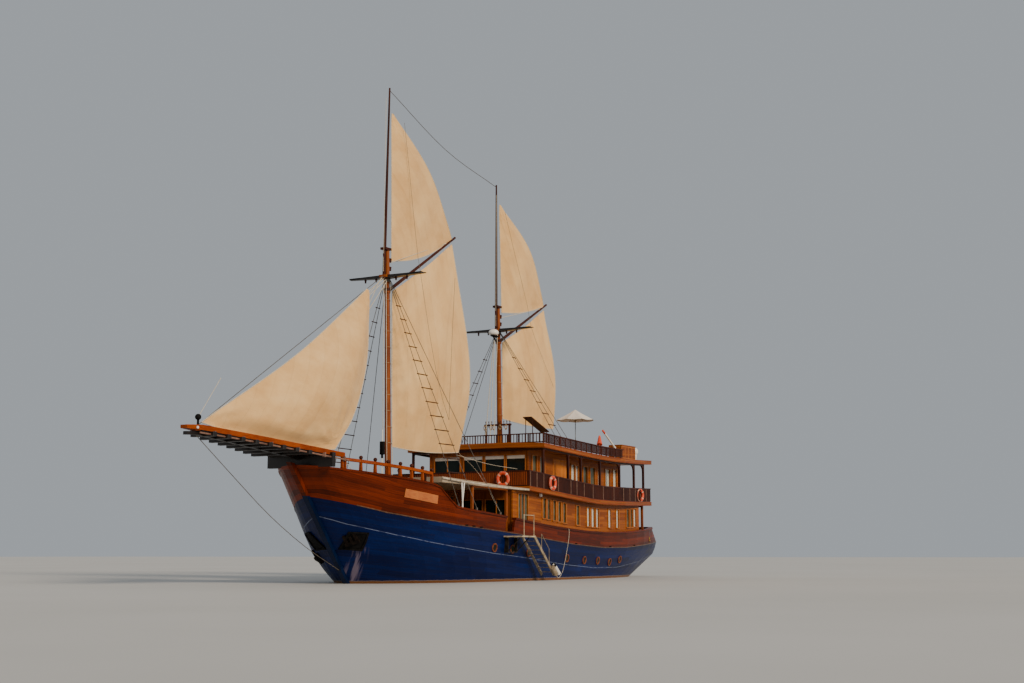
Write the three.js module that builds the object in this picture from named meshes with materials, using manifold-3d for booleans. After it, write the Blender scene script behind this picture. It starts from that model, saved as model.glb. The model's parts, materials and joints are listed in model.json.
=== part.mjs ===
// A two-masted wooden charter yacht of the phinisi kind, afloat under full sail.
// Millimetres, +X towards the bow, +Y to port, +Z up.
// The origin is on the centreline at the water's surface.

import * as THREE from 'three';
import { mergeVertices } from 'three/addons/utils/BufferGeometryUtils.js';
import Module from 'manifold-3d';

const wasm = await Module();
wasm.setup();

// Driving dimensions
const SEAT = 0.3;            // gap between pieces that touch
const PLANK = 110;           // thickness of the bulwark planking
const WALL = 90;             // thickness of a deckhouse wall
const MAST_RAKE = 0.029;     // both masts lean forward by this angle, radians

// Paint and material colours
const NAVY = 0x14307c;
const VARNISH = 0x9a4d1c;
const TEAK = 0xb0672c;
const DARK_WOOD = 0x5a2a14;
const CANVAS = 0xe8dcc2;
const WHITE = 0xe6e2d8;
const STEEL = 0x53565a;
const BRONZE = 0x9c7434;
const ORANGE = 0xe0552c;
const ROPE = 0xd8d0bc;
const SHUTTER = 0xb8501c;

const group = new THREE.Group();

function material(color, roughness = 0.6, metalness = 0) {
  return new THREE.MeshStandardMaterial({ color, roughness, metalness });
}

// Solids: a closed geometry with shared vertices becomes a solid that can be joined and cut
function solid(geometry) {
  const bare = geometry.index ? geometry.toNonIndexed() : geometry.clone();
  bare.deleteAttribute('normal');
  bare.deleteAttribute('uv');
  const merged = mergeVertices(bare, 0.01);
  const corners = merged.index.array;
  const kept = [];
  for (let i = 0; i < corners.length; i += 3) {
    const [a, b, c] = [corners[i], corners[i + 1], corners[i + 2]];
    if (a !== b && b !== c && c !== a) kept.push(a, b, c);
  }
  return new wasm.Manifold(new wasm.Mesh({
    numProp: 3,
    vertProperties: Float32Array.from(merged.attributes.position.array),
    triVerts: Uint32Array.from(kept),
  }));
}

function geometryOf(body) {
  const mesh = body.getMesh();
  const geometry = new THREE.BufferGeometry();
  geometry.setAttribute('position', new THREE.BufferAttribute(mesh.vertProperties, 3));
  geometry.setIndex(new THREE.BufferAttribute(mesh.triVerts, 1));
  return geometry;
}

function joined(solids) {
  return solids.reduce((sum, next) => sum.add(next));
}

// A copy of a solid, moved
function moved(body, x, y, z) {
  const geometry = geometryOf(body);
  geometry.translate(x, y, z);
  return solid(geometry);
}

// A piece that stands on one solid and may reach up to another: both are cut away with a small gap
function seated(body, floor, ceiling = null) {
  const standing = body.subtract(moved(floor, 0, 0, SEAT));
  return ceiling ? standing.subtract(moved(ceiling, 0, 0, -SEAT)) : standing;
}

// A solid with another cut out of it, a small gap wider on every side
function clearOf(body, other) {
  const steps = [[SEAT, 0, 0], [-SEAT, 0, 0], [0, SEAT, 0], [0, -SEAT, 0], [0, 0, SEAT], [0, 0, -SEAT]];
  return steps.reduce((rest, step) => rest.subtract(moved(other, ...step)), body);
}

function addNode(name, body, color, parent = group, roughness = 0.6, metalness = 0) {
  const geometry = body.isBufferGeometry ? body : geometryOf(body);
  geometry.computeVertexNormals();
  const mesh = new THREE.Mesh(geometry, material(color, roughness, metalness));
  mesh.name = name;
  parent.add(mesh);
  return mesh;
}

// Basic shapes
function box(x0, x1, y0, y1, z0, z1) {
  const geometry = new THREE.BoxGeometry(x1 - x0, y1 - y0, z1 - z0);
  geometry.translate((x0 + x1) / 2, (y0 + y1) / 2, (z0 + z1) / 2);
  return solid(geometry);
}

function rod(from, to, radiusFrom, radiusTo = radiusFrom, sides = 8) {
  const a = new THREE.Vector3(...from);
  const b = new THREE.Vector3(...to);
  const geometry = new THREE.CylinderGeometry(radiusTo, radiusFrom, a.distanceTo(b), sides, 1);
  geometry.applyQuaternion(new THREE.Quaternion().setFromUnitVectors(
    new THREE.Vector3(0, 1, 0), b.clone().sub(a).normalize()));
  geometry.translate(...a.clone().add(b).multiplyScalar(0.5).toArray());
  return solid(geometry);
}

function outline(points) {
  return new THREE.Shape(points.map(([u, v]) => new THREE.Vector2(u, v)));
}

// A side view [x, z] made as thick as y0 to y1
function sidePlate(points, y0, y1) {
  const geometry = new THREE.ExtrudeGeometry(outline(points), { depth: y1 - y0, bevelEnabled: false });
  geometry.rotateX(Math.PI / 2);
  geometry.translate(0, y1, 0);
  return solid(geometry);
}

// A plan view [x, y] made as high as z0 to z1
function planPlate(points, z0, z1) {
  const geometry = new THREE.ExtrudeGeometry(outline(points), { depth: z1 - z0, bevelEnabled: false });
  geometry.translate(0, 0, z0);
  return solid(geometry);
}

// A front view [y, z] made as deep as x0 to x1
function frontPlate(points, x0, x1) {
  const geometry = new THREE.ExtrudeGeometry(outline(points), { depth: x1 - x0, bevelEnabled: false });
  geometry.applyMatrix4(new THREE.Matrix4().makeBasis(
    new THREE.Vector3(0, 1, 0), new THREE.Vector3(0, 0, 1), new THREE.Vector3(1, 0, 0)));
  geometry.translate(x0, 0, 0);
  return solid(geometry);
}

// Skin over a row of closed rings of [x, y, z]; each end is capped, or the last joins the first
function loft(rings, endless = false, flat = ([, y, z]) => [y, z]) {
  const count = rings[0].length;
  const triangles = [];
  const last = endless ? rings.length : rings.length - 1;
  for (let i = 0; i < last; i += 1) {
    const here = rings[i];
    const next = rings[(i + 1) % rings.length];
    for (let j = 0; j < count; j += 1) {
      const k = (j + 1) % count;
      triangles.push(here[j], next[j], next[k], here[j], next[k], here[k]);
    }
  }
  if (!endless) {
    for (const [ring, turned] of [[rings[0], false], [rings[rings.length - 1], true]]) {
      const contour = ring.map((point) => new THREE.Vector2(...flat(point)));
      const facing = THREE.ShapeUtils.isClockWise(contour);
      for (const [a, b, c] of THREE.ShapeUtils.triangulateShape(contour, [])) {
        const forward = turned === facing;
        triangles.push(ring[a], forward ? ring[b] : ring[c], forward ? ring[c] : ring[b]);
      }
    }
  }
  let volume = 0;
  for (let i = 0; i < triangles.length; i += 3) {
    const [a, b, c] = [0, 1, 2].map((k) => new THREE.Vector3(...triangles[i + k]));
    volume += a.dot(b.cross(c));
  }
  if (volume < 0) {
    for (let i = 0; i < triangles.length; i += 3) {
      [triangles[i + 1], triangles[i + 2]] = [triangles[i + 2], triangles[i + 1]];
    }
  }
  const geometry = new THREE.BufferGeometry();
  geometry.setAttribute('position', new THREE.Float32BufferAttribute(triangles.flat(), 3));
  return solid(geometry);
}

// Height along a line of [x, z] knots, and the knots that lie inside a stretch
function heightAt(knots, x) {
  const sorted = [...knots].sort((a, b) => a[0] - b[0]);
  for (let i = 1; i < sorted.length; i += 1) {
    const [[x0, z0], [x1, z1]] = [sorted[i - 1], sorted[i]];
    if (x <= x1 || i === sorted.length - 1) return z0 + ((z1 - z0) * (x - x0)) / (x1 - x0);
  }
  return sorted[0][1];
}

function knotsIn(knots, x0, x1) {
  const inner = knots.map(([x]) => x).filter((x) => x > x0 && x < x1);
  return [x0, ...inner.sort((a, b) => a - b), x1];
}

// Smooth value at place u in a row of values, and a fair line through knots of [x, z]
function smooth(values, u) {
  const i = Math.max(0, Math.min(Math.floor(u), values.length - 2));
  const t = u - i;
  const [b, c] = [values[i], values[i + 1]];
  const a = i > 0 ? values[i - 1] : 2 * b - c;
  const d = i + 2 < values.length ? values[i + 2] : 2 * c - b;
  return b + 0.5 * t * (c - a + t * (2 * a - 5 * b + 4 * c - d + t * (3 * (b - c) + d - a)));
}

function faired(knots, parts) {
  const line = [];
  for (let n = 0; n <= (knots.length - 1) * parts; n += 1) {
    line.push([0, 1].map((k) => smooth(knots.map((knot) => knot[k]), n / parts)));
  }
  return line;
}

// Hull sections from stem to transom, each on a plane that leans with the stem or counter.
// Columns: x at the water, lean dx/dz, keel z and y, bilge z and y, lower z and y, upper z and y,
// deck edge x, z and y, rail lean dx/dz, rail y
const SECTIONS = [
  [12800, 0.83, -1000, 90, -500, 90, 0, 100, 1200, 100, 15821, 3640, 110, 0.83, 120],
  [12400, 0.83, -1350, 120, -700, 450, 0, 750, 1200, 1050, 15330, 3480, 950, 0.83, 880],
  [11750, 0.83, -1700, 120, -900, 950, 0, 1420, 1200, 1850, 14560, 3290, 1650, 0.83, 1540],
  [10800, 0.82, -2000, 120, -1100, 1500, 0, 2100, 1200, 2560, 13400, 3010, 2380, 0.83, 2260],
  [9500, 0.8, -2150, 120, -1300, 2000, 0, 2700, 1200, 3080, 11800, 2780, 3050, 0.8, 3020],
  [7600, 0.7, -2250, 120, -1400, 2450, 0, 3200, 1200, 3520, 9500, 2545, 3580, 0.7, 3700],
  [5200, 0.4, -2300, 120, -1500, 2750, 0, 3500, 1200, 3760, 6200, 2330, 3830, 0.4, 3930],
  [2200, 0.15, -2300, 120, -1550, 2900, 0, 3680, 1200, 3870, 2500, 2070, 3930, 0.15, 4000],
  [-1500, 0, -2300, 120, -1500, 2900, 0, 3720, 1200, 3910, -1500, 1760, 3970, 0, 4020],
  [-5000, 0, -2300, 120, -1400, 2700, 0, 3600, 1200, 3890, -5000, 1610, 3980, 0, 4030],
  [-8200, -0.05, -2050, 120, -1200, 2100, 0, 3300, 1200, 3740, -8280, 1640, 3900, 0, 3960],
  [-10800, -0.15, -1500, 120, -800, 1400, 0, 2750, 1200, 3420, -11070, 1790, 3700, 0.1, 3760],
  [-12700, -0.35, -750, 120, -350, 900, 0, 2000, 1200, 3050, -13250, 1920, 3350, 0.35, 3380],
  [-14300, -0.12, 250, 120, 450, 1000, 850, 2050, 1300, 2780, -14540, 2010, 3000, 0.7, 2950],
];
const KEEL_HALF = 120;
const HULL_STEPS = 2;          // lofted rings from one section to the next
const SIDE_STEPS = [3, 3, 2, 2];

function sectionAt(u) {
  return SECTIONS[0].map((_, column) => smooth(SECTIONS.map((row) => row[column]), u));
}
const RINGS = Array.from({ length: (SECTIONS.length - 1) * HULL_STEPS + 1 }, (_, n) => sectionAt(n / HULL_STEPS));

// Rail, deck and roof lines, as fair lines through [x, z] knots
const SHEER = RINGS.map((row) => [row[10], row[11]]);
const RAIL = faired([
  [17200, 4970], [14200, 4632], [11500, 4330], [10900, 4050], [10450, 3740], [10050, 3510], [9400, 3330],
  [5550, 3040], [2480, 2770], [-650, 2560], [-4800, 2440], [-8850, 2540], [-11300, 2690],
  [-14300, 2900],
], 2);
const CEILING = faired([
  [10600, 4440], [7000, 4390], [3450, 4310], [-400, 4100], [-4200, 3910], [-8000, 3930], [-12500, 4060]], 3);
const ROOF_UNDERSIDE = faired([[1900, 6500], [-2500, 6350], [-5800, 6270], [-9000, 6310], [-12600, 6450]], 3);

const deckZ = (x) => heightAt(SHEER, x);
const railZ = (x) => heightAt(RAIL, x);
const ceilingZ = (x) => heightAt(CEILING, x);
const roofZ = (x) => heightAt(ROOF_UNDERSIDE, x);

// Half of a section, from the keel up to the deck edge
function sectionSide([x0, lean, ...rest]) {
  const corners = [[0, 1], [2, 3], [4, 5], [6, 7]].map(([z, y]) => [x0 + lean * rest[z], rest[y], rest[z]]);
  corners.push([rest[8], rest[10], rest[9]]);
  const side = [corners[0]];
  SIDE_STEPS.forEach((steps, i) => {
    for (let n = 1; n <= steps; n += 1) {
      side.push([0, 1, 2].map((k) => smooth(corners.map((corner) => corner[k]), i + n / steps)));
    }
  });
  return side;
}

function buildHull() {
  const rings = RINGS.map((row) => {
    const side = sectionSide(row);
    return [...side, ...side.map(([x, y, z]) => [x, -y, z]).reverse()];
  });
  return loft(rings);
}

// The point on the deck edge at ring u from the stem, and the rail point above it
function edgeAt(u) {
  const i = Math.min(Math.floor(u), RINGS.length - 2);
  const part = u - i;
  const mix = (k) => RINGS[i][k] + (RINGS[i + 1][k] - RINGS[i][k]) * part;
  const [x, z, y, lean, railY] = [mix(10), mix(11), mix(12), mix(13), mix(14)];
  let top = z + 900;
  for (let n = 0; n < 12; n += 1) top = railZ(x + lean * (top - z));
  return { x, y, z, lean, railX: x + lean * (top - z), railY, top };
}

function uForRail(target) {
  let [low, high] = [0, RINGS.length - 1];
  for (let n = 0; n < 40; n += 1) {
    const middle = (low + high) / 2;
    if (edgeAt(middle).railX > target) low = middle;
    else high = middle;
  }
  return (low + high) / 2;
}

// A bulwark is planking with a broad cap rail on it; side is 1 to port and -1 to starboard
const CAP_HEIGHT = 90;
const CAP_OUT = 50;
const CAP_IN = 90;
const SWOOP = { x0: 9200, x1: 12600 };   // where the rail sweeps down from the bow
function bulwark(side) {
  const bends = RAIL.map(([x]) => x).filter((x) => x > SWOOP.x0 && x < SWOOP.x1).map(uForRail);
  const places = [...RINGS.keys(), ...bends].sort((a, b) => a - b);
  const rings = places.map((u) => {
    const { x, y, z, lean, railY, top } = edgeAt(u);
    const under = top - CAP_HEIGHT;
    const at = (offset, height) => {
      const part = (height - z) / (top - z);
      const reach = Math.max(y + (railY - y) * part + offset, SEAT / 2);
      return [x + lean * (height - z), side * reach, height];
    };
    return [
      at(-5, z + SEAT), at(0, under), at(CAP_OUT, under), at(CAP_OUT, top),
      at(-PLANK - CAP_IN, top), at(-PLANK - CAP_IN, under), at(-PLANK, under), at(-PLANK, z + SEAT),
    ];
  });
  return loft(rings);
}

// Keel, deadwood and the sole piece that carries the rudder's heel
const KEEL_DEPTH = 2650;
const SOLE = 200;
const STERNPOST_X = -11800;
const RUDDER_X = -12900;
const KEEL_LINE = RINGS.map(([x0, lean, keelZ]) => [x0 + lean * keelZ, keelZ]);
const keelZ = (x) => heightAt(KEEL_LINE, x);
function buildKeel() {
  const under = KEEL_LINE.filter(([x]) => x > STERNPOST_X).map(([x, z]) => [x, z - SEAT]);
  return sidePlate([
    ...under, [STERNPOST_X, keelZ(STERNPOST_X) - SEAT], [STERNPOST_X, SOLE - KEEL_DEPTH],
    [RUDDER_X - 900, SOLE - KEEL_DEPTH], [RUDDER_X - 900, -KEEL_DEPTH],
    [9800, -KEEL_DEPTH], [10900, -2300],
  ], -KEEL_HALF, KEEL_HALF);
}

// The stem post stands in front of the first section, from the forefoot to the stem head
const STEM_HEAD = 5030;
function buildStem() {
  const [x0, lean, lowZ] = SECTIONS[0];
  const face = (z, ahead) => [x0 + lean * z + SEAT + ahead, z];
  return sidePlate([
    face(lowZ, 0), face(STEM_HEAD - 40, 0), face(STEM_HEAD, 250), face(3600, 240), face(0, 230), face(lowZ, 150),
  ], -120, 120);
}

const hull = buildHull();
const stem = buildStem();
addNode('hull', hull, NAVY, group, 0.35);
addNode('keel', buildKeel(), NAVY);
addNode('stem_post', stem, NAVY);

// The boarding gate is a gap in the port bulwark
const GATE = { x0: 4850, x1: 5620 };
const gateCut = box(GATE.x0, GATE.x1, 3000, 4400, deckZ(GATE.x1) + 40, 3400);
const portBulwark = bulwark(1).subtract(gateCut);
const starboardBulwark = bulwark(-1);
const bulwarks = portBulwark.add(starboardBulwark);
addNode('bulwark_port', portBulwark, VARNISH);
addNode('bulwark_starboard', starboardBulwark, VARNISH);

// Stern bulwark: planking between the side bulwarks, and a cap between their caps
function buildSternBulwark() {
  const end = edgeAt(RINGS.length - 1);
  const under = end.top - CAP_HEIGHT;
  const part = (under - end.z) / (end.top - end.z);
  const plankHalf = Math.min(end.y, end.y + (end.railY - end.y) * part) - PLANK - SEAT;
  const capHalf = Math.min(end.railY, end.y) - PLANK - CAP_IN - 4;
  const at = (y, ahead, height) => [end.x + end.lean * (height - end.z) + ahead, y, height];
  const flat = ([x, , z]) => [x, z];
  const planking = [-plankHalf, plankHalf].map((y) => [
    at(y, 5, end.z + SEAT), at(y, 0, under - SEAT), at(y, PLANK, under - SEAT), at(y, PLANK, end.z + SEAT)]);
  const cap = [-capHalf, capHalf].map((y) => [
    at(y, -CAP_OUT, under - 1), at(y, -CAP_OUT, end.top), at(y, PLANK + CAP_IN, end.top),
    at(y, PLANK + CAP_IN, under - 1)]);
  return loft(planking, false, flat).subtract(moved(bulwarks, 0, 0, -SEAT)).add(loft(cap, false, flat));
}
addNode('stern_bulwark', buildSternBulwark(), VARNISH);

// Half width inside the bulwark at a place along the hull and a height
function insideHalf(x, height) {
  let [low, high] = [0, RINGS.length - 1];
  const at = (u) => {
    const edge = edgeAt(u);
    const part = (height - edge.z) / (edge.top - edge.z);
    return [edge.x + edge.lean * (height - edge.z), edge.y + (edge.railY - edge.y) * part - PLANK];
  };
  for (let n = 0; n < 30; n += 1) {
    const middle = (low + high) / 2;
    if (at(middle)[0] > x) low = middle;
    else high = middle;
  }
  return at(low)[1];
}

// Raised foredeck inside the bow bulwarks, with the bulkhead that closes the space below it
const FOREDECK = { z: 3800, thick: 90, aft: 11150, fore: 15300, steps: 12, wider: 40 };
const foredeckUnder = FOREDECK.z - FOREDECK.thick;
function buildForedeck() {
  const side = Array.from({ length: FOREDECK.steps + 1 }, (_, i) => {
    const x = FOREDECK.aft + ((FOREDECK.fore - FOREDECK.aft) * i) / FOREDECK.steps;
    return [x, insideHalf(x, foredeckUnder) + FOREDECK.wider];
  });
  const plate = planPlate([...side, ...side.map(([x, y]) => [x, -y]).reverse()], foredeckUnder, FOREDECK.z);
  return clearOf(plate, bulwarks);
}
addNode('foredeck', buildForedeck(), TEAK);

const BULKHEAD = { x0: FOREDECK.aft + 30, x1: FOREDECK.aft + 110 };
const HATCHWAY = { half: 350, top: FOREDECK.z - 220 };
function buildBulkhead() {
  const { x0, x1 } = BULKHEAD;
  const base = deckZ(x0) - 10;
  const head = foredeckUnder - SEAT;
  const half = [base, head].map((z) => insideHalf(x1, z) + FOREDECK.wider);
  const way = box(x0 - 50, x1 + 50, -HATCHWAY.half, HATCHWAY.half, base - 10, HATCHWAY.top);
  const plate = frontPlate([[-half[0], base], [half[0], base], [half[1], head], [-half[1], head]], x0, x1);
  return clearOf(seated(plate.subtract(way), hull), bulwarks);
}
addNode('forecastle_bulkhead', buildBulkhead(), VARNISH);

// Forecastle rail: posts on the bow bulwarks' cap and a handrail on them
const FORE_RAIL = { fore: 15550, aft: 11520, posts: 8, height: 470, inset: 75, post: 40 };
function foreRail(side) {
  const places = Array.from({ length: FORE_RAIL.posts }, (_, i) => edgeAt(uForRail(
    FORE_RAIL.fore + ((FORE_RAIL.aft - FORE_RAIL.fore) * i) / (FORE_RAIL.posts - 1))));
  const { inset, height, post } = FORE_RAIL;
  const rings = places.map(({ railX: x, railY, top }) => {
    const [y, head] = [side * (railY - inset), top + height];
    return [[x, y - 60, head - 80], [x, y + 60, head - 80], [x, y + 60, head], [x, y - 60, head]];
  });
  const posts = places.map(({ railX: x, railY, top }) => {
    const y = side * (railY - inset);
    return box(x - post, x + post, y - post, y + post, top - 25, top + height - 30);
  });
  return joined([loft(rings), ...posts]);
}

// Bowsprit: two side beams with a nose block, cross planks below them and a middle spar
const SPRIT_TIP = { x: 23640, y: 95, z: 6070 };
const SPRIT_ROOT = { x: 15600, y: 1640, z: 5460 };
const SPRIT_TOP = [[SPRIT_ROOT.x, SPRIT_ROOT.z], [19600, 5830], [22900, 6110], [SPRIT_TIP.x, SPRIT_TIP.z]];
const SPRIT_BEAM = { width: 130, height: 200, tipHeight: 130, nose: 160 };
function spritAt(x) {
  const part = (SPRIT_TIP.x - x) / (SPRIT_TIP.x - SPRIT_ROOT.x);
  return { y: SPRIT_TIP.y + (SPRIT_ROOT.y - SPRIT_TIP.y) * part, z: heightAt(SPRIT_TOP, x) };
}
function spritBeam(side) {
  const rings = SPRIT_TOP.map(([x]) => {
    const { y, z } = spritAt(x);
    const foot = z - (x === SPRIT_TIP.x ? SPRIT_BEAM.tipHeight : SPRIT_BEAM.height);
    const [inner, outer] = [side * (y - SPRIT_BEAM.width / 2), side * (y + SPRIT_BEAM.width / 2)];
    return [[x, inner, foot], [x, outer, foot], [x, outer, z], [x, inner, z]];
  });
  return loft(rings);
}
const { x: TIP_X, z: TIP_Z } = SPRIT_TIP;
const nose = box(TIP_X - SPRIT_BEAM.nose, TIP_X - 5, -90, 90, TIP_Z - SPRIT_BEAM.tipHeight + 5, TIP_Z - 25);
const beams = joined([spritBeam(1), spritBeam(-1), nose]);
addNode('bowsprit_beams', beams, VARNISH);

// A post on a foot piece, which stands on the cap rail, carries the aft end of each beam
const SPRIT_POST = { x: 15690, half: 50 };
function spritPost(side) {
  const { x: place, half } = SPRIT_POST;
  const { railY, top } = edgeAt(uForRail(place));
  const { y, z } = spritAt(place);
  const across = (near, far) => [Math.min(side * near, side * far), Math.max(side * near, side * far)];
  const post = box(place - half, place + half,
    ...across(y - half, y + half), top + 40, z - SPRIT_BEAM.height / 2);
  const foot = box(FORE_RAIL.fore - 30, place + 10, ...across(railY - 110, railY + 15), top - 25, top + 70);
  return post.add(foot);
}
addNode('forecastle_rail_port', seated(foreRail(1).add(spritPost(1)), bulwarks, beams), VARNISH);
addNode('forecastle_rail_starboard', seated(foreRail(-1).add(spritPost(-1)), bulwarks, beams), VARNISH);

const CROSS_PLANK = { count: 8, width: 160, height: 90, first: 22500, last: 17700, overhang: 180 };
const SPRIT_SPAR = { fore: 23560, aft: 16300, half: 90, drop: 45, thick: 130 };
const BOLSTER = { x: 16350, half: 110 };   // crossbeam on the cap rails, under the side beams
function buildSpritPlanks() {
  const planks = [];
  for (let i = 0; i < CROSS_PLANK.count; i += 1) {
    const x = CROSS_PLANK.first + ((CROSS_PLANK.last - CROSS_PLANK.first) * i) / (CROSS_PLANK.count - 1);
    const [x0, x1] = [x - CROSS_PLANK.width / 2, x + CROSS_PLANK.width / 2];
    const reach = spritAt(x).y + CROSS_PLANK.overhang;
    const top = spritAt(x0).z - SPRIT_BEAM.height - SEAT;
    planks.push(box(x0, x1, -reach, reach, top - CROSS_PLANK.height, top));
  }
  const spar = (x, lower) => [x, spritAt(x).z - SPRIT_BEAM.height - SPRIT_SPAR.drop - lower];
  const { fore, aft, thick, half } = SPRIT_SPAR;
  const knots = [fore, SPRIT_TOP[2][0], SPRIT_TOP[1][0], aft];
  const outline = [...knots.map((x) => spar(x, 0)), ...knots.map((x) => spar(x, thick)).reverse()];
  const middle = sidePlate(outline, -half, half);
  const reach = spritAt(BOLSTER.x).y + CROSS_PLANK.overhang;
  const cap = edgeAt(uForRail(BOLSTER.x)).top;
  const bolster = box(BOLSTER.x - BOLSTER.half, BOLSTER.x + BOLSTER.half, -reach, reach,
    cap - 30, spritAt(BOLSTER.x).z - SPRIT_BEAM.height / 2);
  const rested = clearOf(clearOf(bolster, bulwarks), beams);
  return clearOf(joined([middle, rested, ...planks]), stem);
}
const spritPlanks = buildSpritPlanks();
addNode('bowsprit_planks', spritPlanks, DARK_WOOD);

// Decks: a slab whose underside and top follow the sheer, as wide as the plan says
function deckSlab(places, underside, thickness, crown = 0) {
  const rings = places.map(([x, half, foot = underside(x), extra = 0]) => {
    const top = underside(x) + thickness;
    const bow = foot + extra;
    return [
      [x, -half, foot], [x, -half / 2, bow], [x, half / 2, bow], [x, half, foot],
      [x, half, top], [x, half / 2, top + crown], [x, -half / 2, top + crown], [x, -half, top],
    ];
  });
  return loft(rings);
}

const UPPER_DECK = { front: 3450, aft: -12500, half: 4000, aftHalf: 3600, taperFrom: -8000, thick: 220 };
const halfAt = (x) => (x > UPPER_DECK.taperFrom ? UPPER_DECK.half
  : UPPER_DECK.half + ((UPPER_DECK.aftHalf - UPPER_DECK.half) * (x - UPPER_DECK.taperFrom))
  / (UPPER_DECK.aft - UPPER_DECK.taperFrom));
const upperDeckZ = (x) => ceilingZ(x) + UPPER_DECK.thick;
const upperDeckXs = knotsIn(CEILING, UPPER_DECK.aft, UPPER_DECK.front);
const upperDeck = deckSlab(upperDeckXs.map((x) => [x, halfAt(x)]), ceilingZ, UPPER_DECK.thick);
addNode('upper_deck', upperDeck, TEAK);

// A white-edged awning deck covers the well between the upper deck and the foredeck.
// Columns: x, half width, thickness
const AWNING = [
  [UPPER_DECK.front + SEAT, 4000, 95], [4400, 3620, 120], [5600, 3420, 150], [10170, 3150, 255],
];
const AWNING_FRONT = AWNING[AWNING.length - 1][0];
function buildAwning() {
  const halves = AWNING.map(([x, half]) => [x, half]);
  const thicks = AWNING.map(([x, , thick]) => [x, thick]);
  const xs = [...new Set([...knotsIn(CEILING, AWNING[0][0], AWNING_FRONT), ...AWNING.map(([x]) => x)])];
  const rings = xs.sort((a, b) => a - b).map((x) => {
    const [foot, half] = [ceilingZ(x), heightAt(halves, x)];
    const top = foot + heightAt(thicks, x);
    return [[x, -half, foot], [x, half, foot], [x, half, top], [x, -half, top]];
  });
  return loft(rings);
}
const awning = buildAwning();

// A fore-and-aft wall: its foot follows one line of knots and its head another
function longWall(x0, x1, y0, y1, footKnots, footZ, headKnots, headZ) {
  const foot = knotsIn(footKnots, x0, x1).map((x) => [x, footZ(x) + SEAT]);
  const head = knotsIn(headKnots, x0, x1).map((x) => [x, headZ(x) - SEAT]).reverse();
  return sidePlate([...foot, ...head], y0, y1);
}

// Windows: [aft x, fore x] pairs cut between a sill and a head, measured from the floor line
function windowCuts(spans, y0, y1, floorZ, sill, head) {
  return spans.map(([x0, x1]) => {
    const floor = floorZ((x0 + x1) / 2);
    return box(x0, x1, y0, y1, floor + sill, floor + head);
  });
}

// Lower deckhouse: a saloon and cabins under the upper deck
const LOWER = { front: 4350, aft: -10750, half: 3550 };
const SALOON_GLASS = [[2800, 3800]];
const LOWER_WINDOWS = [
  [870, 1190], [390, 700], [-230, 80], [-800, -480], [-1370, -1050], [-2950, -2600],
  [-4210, -3880], [-4810, -4430], [-5340, -5000], [-6940, -6560], [-7940, -7600],
  [-9380, -9010], [-9840, -9530], [-10330, -9970],
];
const LOWER_SILL = 1080;
const LOWER_HEAD = 2060;
function buildLowerSide(side) {
  const [y0, y1] = side > 0 ? [LOWER.half - WALL, LOWER.half] : [-LOWER.half, -LOWER.half + WALL];
  const wall = longWall(LOWER.aft, LOWER.front, y0, y1, SHEER, deckZ, CEILING, ceilingZ);
  const cuts = [
    ...windowCuts(LOWER_WINDOWS, y0 - 50, y1 + 50, deckZ, LOWER_SILL, LOWER_HEAD),
    ...windowCuts(SALOON_GLASS, y0 - 50, y1 + 50, deckZ, 750, 2020),
  ];
  return wall.subtract(joined(cuts));
}
addNode('lower_house_port', buildLowerSide(1), TEAK);
addNode('lower_house_starboard', buildLowerSide(-1), TEAK);

// Cross walls stand between the long walls; openings are [y0, y1, sill, head] above the floor
function crossWall(x0, x1, half, floorZ, headZ, openings) {
  const foot = Math.max(floorZ(x0), floorZ(x1)) + SEAT;
  const head = Math.min(headZ(x0), headZ(x1)) - SEAT;
  const cuts = openings.map(([y0, y1, sill, top]) => box(
    x0 - 50, x1 + 50, y0, y1, sill > 0 ? foot + sill : foot - 50, foot + top));
  return box(x0, x1, -half, half, foot, head).subtract(joined(cuts));
}

const DOOR = { gap: 8, between: 14, inset: 10, thick: 50, width: 820, height: 1880, sill: 90 };
const lowerInner = LOWER.half - WALL - SEAT;
addNode('lower_house_front', crossWall(LOWER.front - WALL - 30, LOWER.front - 30, lowerInner, deckZ, ceilingZ, [
  [-DOOR.width / 2, DOOR.width / 2, DOOR.sill, DOOR.sill + DOOR.height],
  [700, 1850, 600, 1650], [2050, 3200, 600, 1650], [-1850, -700, 600, 1650], [-3200, -2050, 600, 1650],
]), TEAK);
addNode('lower_house_aft', crossWall(LOWER.aft + 30, LOWER.aft + 30 + WALL, lowerInner, deckZ, ceilingZ, [
  [-DOOR.width / 2, DOOR.width / 2, 0, DOOR.height], [1200, 2300, 1000, 1750], [-2300, -1200, 1000, 1750],
]), TEAK);

// Upper deckhouse, with side walks outside it
const UPPER = { front: 1500, aft: -9600, half: 2900 };
const UPPER_WINDOWS = [
  [-3770, -3340], [-4210, -3890], [-5290, -4810], [-6270, -5690], [-6930, -6650],
  [-8240, -7640], [-9130, -8670],
];
const FRONT_PORT_WINDOWS = [[620, 1050], [-250, 250]];
const CABIN_DOORWAY = { x0: -3000, x1: -1240 };
const UPPER_SILL = 850;
const UPPER_HEAD = 1800;
function buildUpperSide(side) {
  const [y0, y1] = side > 0 ? [UPPER.half - WALL, UPPER.half] : [-UPPER.half, -UPPER.half + WALL];
  const wall = longWall(UPPER.aft, UPPER.front, y0, y1, CEILING, upperDeckZ, ROOF_UNDERSIDE, roofZ);
  const floor = upperDeckZ(CABIN_DOORWAY.x1);
  const cuts = [
    ...windowCuts([...UPPER_WINDOWS, ...FRONT_PORT_WINDOWS], y0 - 50, y1 + 50, upperDeckZ, UPPER_SILL, UPPER_HEAD),
    box(CABIN_DOORWAY.x0, CABIN_DOORWAY.x1, y0 - 50, y1 + 50, floor - 300, floor + DOOR.height),
  ];
  return wall.subtract(joined(cuts));
}
addNode('upper_house_port', buildUpperSide(1), TEAK);
addNode('upper_house_starboard', buildUpperSide(-1), TEAK);

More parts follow.
